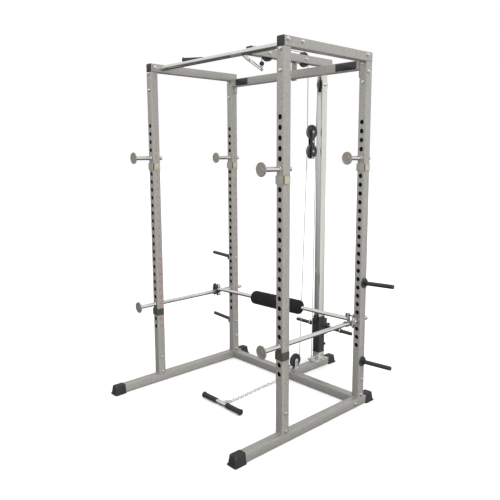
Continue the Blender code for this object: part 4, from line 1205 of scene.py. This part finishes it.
def make_cables():
    """Upper cable from the lat bar to the carriage, lower cable from the row handle to the tower."""
    def stop(name, turn, radius=PATH):
        spot = hub(name)
        return (spot.y, spot.z, radius, turn)

    def ferrule(name, body, z, y, profile):
        put(name, turned(profile, (0, y, z), UP, 24), zinc(), body, "zinc_steel")

    top_y, top_z = TOWER.y + PATH, high("carriage").z
    upper = [
        (hub("lat_front_pulley").y - PATH, high("lat_cable_stop").z + 0.0004, 0.0, 0),
        stop("lat_front_pulley", -1), stop("lat_rear_pulley", -1), stop("float_wheel_upper", 1),
        stop("tower_top_pulley", -1), (top_y, top_z + 0.0003, 0.0, 0),
    ]
    run_cable("Upper cable", "upper_cable", upper,
              ["lat_bar_set", "frame", "frame", "float_block", "frame", "weight_carriage"])
    start = leave_guide() + guide_way() * 0.0305
    end_y, end_z = TOWER.y - 0.075, low("tower_base_bracket").z + 0.031
    lower = [
        (start.y, start.z, 0.0, 0), stop("low_guide_roller", -1, GUIDE_PATH), stop("low_pulley", 1),
        stop("float_wheel_lower", -1), (end_y, end_z + 0.0007, 0.0, 0),
    ]
    run_cable("Lower cable", "lower_cable", lower,
              ["row_handle_set", "frame", "frame", "float_block", "frame"])
    ferrule("Lower cable anchor ferrule", "frame", end_z, end_y,
            [(0.0034, -0.004), (0.0048, -0.003), (0.0048, 0.020), (0.0030, 0.022)])
    ferrule("Upper cable end ferrule", "weight_carriage", top_z, top_y,
            [(0.0034, -0.002), (0.0050, -0.001), (0.0050, 0.022), (0.0030, 0.024)])


def spring_clip(name, first, last, half_width, body, node):
    """Long ring with a sprung gate, hooked through two eyes."""
    first, last = Vector(first), Vector(last)
    along, side, mid = (last - first).normalized(), Vector(ACROSS), (first + last) / 2
    points = []
    for centre, sign in ((first + along * half_width, -1), (last - along * half_width, 1)):
        points += [centre + sign * (along * y - side * x) for x, y in bow(half_width, 0.0, math.pi, 12)]
    span = along * (last - first).length * 0.26
    gate_mid = mid + side * half_width
    gate = rounded_bar(gate_mid - span, gate_mid + span, 0.0041, 0.0008, 20)
    knurl = [(0.0040, -0.0006), (0.0045, 0.0), (0.0040, 0.0006)]
    rings = [turned(knurl, gate_mid + span * (k - 2.5) / 4, along, 20) for k in range(6)]
    put(name, joined(swept(points, 0.0029, 14, loop=True), gate, *rings), zinc(), body, "zinc_steel", node)


def eye_tab(eye, back, thick=0.0078, wide=0.0098, hole=0.0056):
    """A flat tab ending in a round eye that runs along X."""
    along, root = Vector(eye) - Vector(back), -0.006
    reach = along.length
    tip = [(reach + x, y) for x, y in bow(wide, -QUARTER, QUARTER, 16)]
    plate = slab([(root, -wide * 0.85), *tip, (root, wide * 0.85)], thick, 0.0006)
    drill = turned([(hole, -0.02), (hole, 0.02)], (reach, 0, 0), UP, 28)
    plate = carved(moved(plate, to(z=-thick / 2)), [drill])
    lean = Matrix.Rotation(math.atan2(along.z, along.y), 4, "X")
    return moved(plate, ON_SIDE, lean, to(*back))


def stopper(name, node, centre, eye, body):
    """Rubber ball with a steel collar and an eye."""
    way = (centre - eye).normalized()
    radius, across = 0.0145, Vector(ACROSS)
    ball = turned(bow(radius, -QUARTER, QUARTER, 16), centre, way, 36)
    seam = [centre + across * x + way.cross(across) * y for x, y in hoop(radius, 40)]
    put(name, joined(ball, swept(seam, 0.0006, 8, loop=True)), rubber(), body, "black_rubber", node)
    tab = eye_tab(eye, centre - way * (radius - 0.006), 0.0066, 0.0088)
    collar = turned([(0.0088, 0.0), (0.0095, 0.0008), (0.0095, 0.0042), (0.0080, 0.0050), (0.0, 0.0050)],
                    centre - way * (radius - 0.0015), -way, 28)
    put(f"{name} eye", joined(tab, collar), zinc(), body, "zinc_steel")
    ferrule = turned([(0.0044, 0.0), (0.0044, 0.0012), (0.0036, 0.0020), (0.0, 0.0020)],
                     centre + way * (radius - 0.0006), way, 24)
    put(f"{name} ferrule", ferrule, zinc(), body, "zinc_steel")


# ------------------------------------------------------------------ lat bar and row handle
def grip_sleeve(start, end):
    """Rubber sleeve with shallow rings, a flange and a domed end."""
    start, end = Vector(start), Vector(end)
    length = (end - start).length
    big, rings, groove = 0.0155, 14, 0.0146
    profile = [(PEG + 0.0004, 0.0), (big - 0.0010, 0.0), (big, 0.0012)]
    for k in range(rings):
        at = 0.008 + (length - 0.020) * k / (rings - 1)
        profile += [(big, at - 0.0018), (groove, at - 0.0006), (groove, at + 0.0006), (big, at + 0.0018)]
    profile += [(big, length - 0.0066), (big + 0.0030, length - 0.0056), (big + 0.0034, length - 0.0030),
                (big + 0.0026, length - 0.0006), (PEG, length), (0.0, length + 0.0006)]
    return turned(profile, start, end - start, 36)


def handle_band(half, centre):
    """Thin band round a bar's middle, where the eye is welded on."""
    edge = half - 0.0002
    outer = PEG + 0.0012
    return turned([(PEG, -half), (outer, -edge), (outer, edge), (PEG, half)], centre, ACROSS, 40)


def bent_bar_points():
    """Middle line of the lat bar, with a round bend at each side."""
    a, b = ends("lat_bar")
    bend, end, radius = math.radians(33.0), 0.150, 0.045
    lean = Vector((math.cos(bend), -math.sin(bend), 0))
    corner = Vector((0.330, a.y + PEG * math.cos(bend) + end * math.sin(bend), b.z - PEG))
    centre = corner - Vector((radius * math.tan(bend / 2), radius, 0))
    right = [Vector((corner.x * k / 6, corner.y, corner.z)) for k in range(5)]
    right += [centre + Vector((x, y, 0)) for x, y in bow(radius, QUARTER, QUARTER - bend, 8)]
    right.append(corner + lean * (end - 0.008))
    left = [Vector((-p.x, p.y, p.z)) for p in reversed(right[1:])]
    return left + right, corner, lean, end


def make_lat_bar():
    """Bent bright bar with rubber grips, clipped to the upper cable."""
    points, corner, lean, end = bent_bar_points()
    body = "lat_bar_set"
    lat_stop = Vector((0, hub("lat_front_pulley").y - PATH, ARM_Z - 0.064))
    lat_eye = lat_stop - Vector((0, 0, 0.036))
    hook_eye = Vector((0, corner.y + 0.068, corner.z - 0.033))
    strap = eye_tab(hook_eye, (0, corner.y + 0.006, corner.z - 0.003))
    bar = joined(swept(points, PEG, 40), strap, handle_band(0.013, (0, corner.y, corner.z)))
    put("Lat bar", bar, chrome(), body, "chrome", "lat_bar")
    start, tip = corner + lean * 0.012, corner + lean * (end - 0.001)
    for side, flip in (("right", Vector((1, 1, 1))), ("left", Vector((-1, 1, 1)))):
        put(f"Lat grip {side}", grip_sleeve(start * flip, tip * flip), rubber(), body, "black_rubber",
            f"lat_grip_{side}")
    spring_clip("Lat bar clip", hook_eye, lat_eye, 0.012, body, "lat_carabiner")
    stopper("Lat cable ball", "lat_cable_stop", lat_stop, lat_eye, body)


def chain_link():
    """One stadium-shaped chain link, along X."""
    half, round_end, wire = 0.0043, 0.0074, 0.0020
    points = []
    for sign in (1, -1):
        points += [(sign * (half + x), sign * y, 0) for x, y in bow(round_end, -QUARTER, QUARTER, 8)]
    return swept(points, wire, 8, loop=True)


def make_row_handle():
    """Straight handle with grips, an eye, a chain on the floor and a clip to the lower cable."""
    body = "row_handle_set"
    a, b = ends("row_handle")
    x, y, z = (a.x + b.x) / 2, a.y + PEG, b.z - PEG
    bar = rounded_bar((a.x + 0.006, y, z), (b.x - 0.006, y, z), PEG - 0.0002, 0.0015, 40)
    eye = Vector((x, y + 0.040, z - 0.006))
    tab = eye_tab(eye, (x, y + 0.005, z - 0.001))
    bar = joined(bar, tab, handle_band(0.011, (x, y, z)))
    put("Row handle", bar, chrome(), body, "chrome", "row_handle")
    for side, near, far in (("left", x - 0.045, a.x + 0.001), ("right", x + 0.045, b.x - 0.001)):
        put(f"Row grip {side}", grip_sleeve((near, y, z), (far, y, z)), rubber(), body, "black_rubber",
            f"row_grip_{side}")
    a, b = ends("row_chain")
    start, end, level = a.y + 0.010, b.y - 0.010, 0.0104
    path = bpy.data.meshes.new("chain path")
    count, points = 24, []
    for k in range(count + 1):
        share = k / count
        sway = 0.0035 * math.sin(FULL * share)
        points.append((x * (1 - share) + sway, start + (end - start) * share, level))
    path.from_pydata(points, [(k, k + 1) for k in range(count)], [])
    chain = linked("Row chain", path, chain_link(), zinc(), bpy.context.scene.cage_fittings.link)
    put("Row chain", chain, zinc(), body, "zinc_steel", "row_chain")
    spring_clip("Row handle clip", (x, eye.y - 0.004, eye.z), (x, start + 0.008, 0.010), 0.0095, body,
                "row_carabiner")
    row_stop = leave_guide() + guide_way() * 0.046
    row_eye = row_stop + guide_way() * 0.026
    spring_clip("Row chain clip", (0, row_eye.y - 0.052, 0.016), row_eye, 0.010, body, "row_carabiner")
    stopper("Row cable ball", "row_cable_stop", row_stop, row_eye, body)


# ------------------------------------------------------------------ carriage
def make_carriage():
    """Plate carriage: sleeve, wide collar, pegs, rear horn, cable lug and pop pin."""
    body = "weight_carriage"
    y, bottom = TOWER.y, low("carriage").z
    side_z = bottom + 0.1757
    half, wide = 0.030, 0.0375
    peg_y = y + wide + 0.0115
    low_z, high_z = side_z - 0.048, side_z + 0.068

    def sleeve(start, end, corner, size, wall):
        return square_tube((0, y, start), (0, y, end), corner, size, wall)

    parts = [
        sleeve(bottom, bottom + 0.262, 0.005, half * 2, 0.003),
        sleeve(low_z, high_z, 0.007, wide * 2, 0.0078),
        brick((-wide, y + wide - 0.006, low_z), (wide, y + wide + 0.012, high_z), 0.0015, 0.005),
        brick((-0.008, y + PATH - 0.011, side_z + 0.056), (0.008, y + PATH + 0.009, side_z + 0.100), 0.0015),
        brick((-0.012, y - wide - 0.006, side_z + 0.038), (0.012, y - half + 0.001, side_z + 0.103), 0.0015),
        rounded_bar((-0.256, peg_y, side_z), (0.256, peg_y, side_z), PEG, 0.003, 40),
        rounded_bar((0, peg_y, side_z), (0, peg_y + 0.067, side_z), PEG, 0.003, 40),
    ]
    parts += [sleeve(z, z + 0.005, 0.006, half * 2 + 0.003, 0.004) for z in (bottom, bottom + 0.257)]
    put("Carriage", joined(*parts), black_paint(), body, "black_paint", "carriage")
    liners = [sleeve(z, z + 0.020, 0.003, TUBE + 0.0032, 0.0010) for z in (bottom + 0.002, bottom + 0.240)]
    put("Carriage liners", joined(*liners), plastic(), body, "black_plastic")
    screws = []
    for z in (side_z - 0.034, side_z + 0.054):
        screws += [((wide, y, z), (1, 0, 0)), ((-wide, y, z), (-1, 0, 0))]
    fasteners("Carriage screws", screws, body, "black_paint", material=black_paint(), size=0.62)
    pin = [(0.0060, 0.0), (0.0060, 0.008), (0.0045, 0.009), (0.0045, 0.020), (0.0085, 0.021), (0.0105, 0.025),
           (0.0105, 0.036), (0.0085, 0.040), (0.0, 0.041)]
    put("Carriage pop pin", turned(pin, (0, y + half, bottom + 0.040), BACK, 36), plastic(), body,
        "black_plastic")
    for side in ("left", "right"):
        make_spring_collar(side)


def make_spring_collar(side):
    """Coiled wire collar with two finger tips."""
    node, body = f"spring_collar_{side}", f"collar_{side}"
    a, b = ends(node)
    mid = (a + b) / 2
    radius, edge, laps, sides = 0.0150, 0.0015, 4, 24
    coil = bow(radius, 0.0, FULL * laps, laps * sides)
    step = (b.x - a.x - 2 * edge) / (laps * sides)
    wire = [(a.x + edge + step * k, mid.y + y, mid.z + z) for k, (y, z) in enumerate(coil)]
    put(f"Spring collar {side}", swept(wire, 0.0016, 10), zinc(), body, "zinc_steel", node)
    tips = []
    for x, angle in ((a.x + edge, 0.35), (b.x - edge, -0.35)):
        base = (x, mid.y + radius * math.sin(angle), mid.z + radius * math.cos(angle))
        far = (x, mid.y + 0.030 * math.sin(angle), mid.z + 0.024)
        tips.append(rounded_bar(base, far, 0.0024, 0.0006, 16))
    put(f"Spring collar {side} handles", joined(*tips), plastic(), body, "black_plastic")


# ------------------------------------------------------------------ stage
def make_stage():
    """Pale floor, soft light and the camera."""
    settings = bpy.context.scene.cage_stage
    floor_mat = bpy.data.materials.new("pale floor")
    floor_mat.use_nodes = True
    shader = floor_mat.node_tree.nodes["Principled BSDF"]
    shader.inputs["Base Color"].default_value = (*settings.floor, 1.0)
    shader.inputs["Roughness"].default_value = 0.9
    mesh = bpy.data.meshes.new("floor")
    wide = 40.0
    corners = [(-wide, -wide, 0), (wide, -wide, 0), (wide, wide, 0), (-wide, wide, 0)]
    mesh.from_pydata(corners, [], [(0, 1, 2, 3)])
    mesh.materials.append(floor_mat)
    floor = shown("Floor", mesh)
    floor.visible_glossy = False

    world = bpy.data.worlds.new("soft room")
    world.use_nodes = True
    tree = world.node_tree
    light_side = Vector((0.42, -0.20, 0.88)).normalized()
    way = tree.nodes.new("ShaderNodeTexCoord")
    lean = tree.nodes.new("ShaderNodeVectorMath")
    lean.operation = "DOT_PRODUCT"
    lean.inputs[1].default_value = light_side
    tree.links.new(way.outputs["Generated"], lean.inputs[0])
    share = spread(tree, lean.outputs["Value"], -0.42, -0.02, 0.10, 1.02)
    sight = tree.nodes.new("ShaderNodeLightPath")
    power = tree.nodes.new("ShaderNodeMix")
    power.inputs["B"].default_value = 1.0
    tree.links.new(sight.outputs["Is Camera Ray"], power.inputs["Factor"])
    tree.links.new(share, power.inputs["A"])
    background = tree.nodes["Background"]
    background.inputs["Color"].default_value = (1.0, 1.0, 1.0, 1.0)
    tree.links.new(power.outputs["Result"], background.inputs["Strength"])
    bpy.context.scene.world = world
    bpy.context.scene.view_settings.view_transform = "Standard"

    sun = bpy.data.lights.new("Soft sun", "SUN")
    sun.energy = 1.9 * settings.light
    sun.angle = math.radians(55)
    shown("Soft sun", sun).rotation_euler = facing((0.60, -0.22, 0.77)).to_euler()

    camera = bpy.data.cameras.new("Camera")
    camera.lens = 40.25
    camera.sensor_width = 36.0
    camera.shift_x = -0.0172
    camera.shift_y = -0.0219
    eye = shown("Camera", camera)
    cage_y = (POST["front_left"].y + POST["rear_left"].y) / 2
    eye.location = (2.5358, cage_y - 2.3479, 1.5241)
    eye.rotation_euler = (math.radians(90 - 8.57), math.radians(0.12), math.radians(46.65))
    bpy.context.scene.camera = eye


# ------------------------------------------------------------------ operators
class CAGE_OT_uprights(bpy.types.Operator):
    """Four posts with their holes and foot welds."""
    bl_idname = "cage.uprights"
    bl_label = "Posts"

    def execute(self, context):
        make_uprights()
        return {"FINISHED"}


class CAGE_OT_numerals(bpy.types.Operator):
    """Numbers beside the holes of the left posts."""
    bl_idname = "cage.numerals"
    bl_label = "Hole numbers"

    def execute(self, context):
        make_numerals()
        return {"FINISHED"}


class CAGE_OT_rails(bpy.types.Operator):
    """Base tubes, top tubes, beams and the lat arm."""
    bl_idname = "cage.rails"
    bl_label = "Rails"

    def execute(self, context):
        make_rails()
        return {"FINISHED"}


class CAGE_OT_caps(bpy.types.Operator):
    """Plastic caps in the open tube ends."""
    bl_idname = "cage.caps"
    bl_label = "Tube caps"

    def execute(self, context):
        make_caps()
        return {"FINISHED"}


class CAGE_OT_feet(bpy.types.Operator):
    """Flared rubber feet."""
    bl_idname = "cage.feet"
    bl_label = "Feet"

    def execute(self, context):
        make_feet()
        return {"FINISHED"}


class CAGE_OT_pullup(bpy.types.Operator):
    """Pull-up bar with its end plates."""
    bl_idname = "cage.pullup"
    bl_label = "Pull-up bar"

    def execute(self, context):
        make_pullup()
        return {"FINISHED"}


class CAGE_OT_badges(bpy.types.Operator):
    """Blank dark plates on the rear top beam."""
    bl_idname = "cage.badges"
    bl_label = "Badge plates"

    def execute(self, context):
        make_badges()
        return {"FINISHED"}


class CAGE_OT_tower(bpy.types.Operator):
    """Chrome tower tube and its brackets."""
    bl_idname = "cage.tower"
    bl_label = "Tower"

    def execute(self, context):
        make_tower()
        return {"FINISHED"}


class CAGE_OT_low_bracket(bpy.types.Operator):
    """Plates that hold the low pulley."""
    bl_idname = "cage.low_bracket"
    bl_label = "Low pulley bracket"

    def execute(self, context):
        make_low_bracket()
        return {"FINISHED"}


class CAGE_OT_plate_pegs(bpy.types.Operator):
    """Plate storage pegs on the rear posts."""
    bl_idname = "cage.plate_pegs"
    bl_label = "Storage pegs"

    def execute(self, context):
        make_plate_pegs()
        return {"FINISHED"}


class CAGE_OT_bolts(bpy.types.Operator):
    """Bolts and nuts of the frame."""
    bl_idname = "cage.bolts"
    bl_label = "Frame bolts"

    def execute(self, context):
        make_bolts()
        return {"FINISHED"}


class CAGE_OT_hooks(bpy.types.Operator):
    """Four bar hooks with their saddles."""
    bl_idname = "cage.hooks"
    bl_label = "Bar hooks"

    def execute(self, context):
        make_hooks()
        return {"FINISHED"}


class CAGE_OT_safety_bars(bpy.types.Operator):
    """Two safety bars with their saddles."""
    bl_idname = "cage.safety_bars"
    bl_label = "Safety bars"

    def execute(self, context):
        make_safety_bars()
        return {"FINISHED"}


class CAGE_OT_leg_roller(bpy.types.Operator):
    """Clamped bar with its foam."""
    bl_idname = "cage.leg_roller"
    bl_label = "Leg roller"

    def execute(self, context):
        make_leg_roller()
        return {"FINISHED"}


class CAGE_OT_pulleys(bpy.types.Operator):
    """Grooved wheels and their axles."""
    bl_idname = "cage.pulleys"
    bl_label = "Pulleys"

    def execute(self, context):
        make_pulleys()
        return {"FINISHED"}


class CAGE_OT_float_block(bpy.types.Operator):
    """Side plates of the floating pulleys."""
    bl_idname = "cage.float_block"
    bl_label = "Float block"

    def execute(self, context):
        make_float_block()
        return {"FINISHED"}


class CAGE_OT_cables(bpy.types.Operator):
    """Upper and lower cable."""
    bl_idname = "cage.cables"
    bl_label = "Cables"

    def execute(self, context):
        make_cables()
        return {"FINISHED"}


class CAGE_OT_lat_bar(bpy.types.Operator):
    """Bent bar with grips, clip and ball."""
    bl_idname = "cage.lat_bar"
    bl_label = "Lat bar"

    def execute(self, context):
        make_lat_bar()
        return {"FINISHED"}


class CAGE_OT_row_handle(bpy.types.Operator):
    """Handle with grips, chain, clips and ball."""
    bl_idname = "cage.row_handle"
    bl_label = "Row handle"

    def execute(self, context):
        make_row_handle()
        return {"FINISHED"}


class CAGE_OT_carriage(bpy.types.Operator):
    """Plate carriage with its pegs and spring collars."""
    bl_idname = "cage.carriage"
    bl_label = "Carriage"

    def execute(self, context):
        make_carriage()
        return {"FINISHED"}


class CAGE_OT_stage(bpy.types.Operator):
    """Pale floor, soft light and camera."""
    bl_idname = "cage.stage"
    bl_label = "Stage"

    def execute(self, context):
        make_stage()
        return {"FINISHED"}


OPERATORS = (
    CAGE_OT_uprights, CAGE_OT_numerals, CAGE_OT_rails,
    CAGE_OT_caps, CAGE_OT_feet, CAGE_OT_pullup,
    CAGE_OT_badges, CAGE_OT_tower, CAGE_OT_low_bracket,
    CAGE_OT_plate_pegs, CAGE_OT_bolts, CAGE_OT_hooks,
    CAGE_OT_safety_bars, CAGE_OT_leg_roller, CAGE_OT_pulleys,
    CAGE_OT_float_block, CAGE_OT_cables, CAGE_OT_lat_bar,
    CAGE_OT_row_handle, CAGE_OT_carriage, CAGE_OT_stage,
)


class CAGE_PT_pieces(bpy.types.Panel):
    """Sizes, colours and one button for each piece."""
    bl_label = "Power cage"
    bl_idname = "CAGE_PT_pieces"
    bl_space_type = "VIEW_3D"
    bl_region_type = "UI"
    bl_category = "Power cage"

    def draw(self, context):
        for group in (context.scene.cage_frame, context.scene.cage_fittings, context.scene.cage_stage):
            box = self.layout.box()
            for key in group.bl_rna.properties.keys():
                if key not in {"rna_type", "name"}:
                    box.prop(group, key)
        for kind in OPERATORS:
            self.layout.operator(kind.bl_idname)


GROUPS = {
    "cage_frame": CageFrameSizes,
    "cage_fittings": CageFittingSizes,
    "cage_stage": CageStageSizes,
}


def register():
    for kind in (*GROUPS.values(), *OPERATORS, CAGE_PT_pieces):
        bpy.utils.register_class(kind)
    for key, kind in GROUPS.items():
        setattr(bpy.types.Scene, key, PointerProperty(type=kind))


def unregister():
    for key in GROUPS:
        delattr(bpy.types.Scene, key)
    for kind in (CAGE_PT_pieces, *reversed(OPERATORS), *GROUPS.values()):
        bpy.utils.unregister_class(kind)


def main():
    register()
    for kind in OPERATORS:
        getattr(bpy.ops.cage, kind.bl_idname.split(".")[1])()


if __name__ == "__main__":
    main()
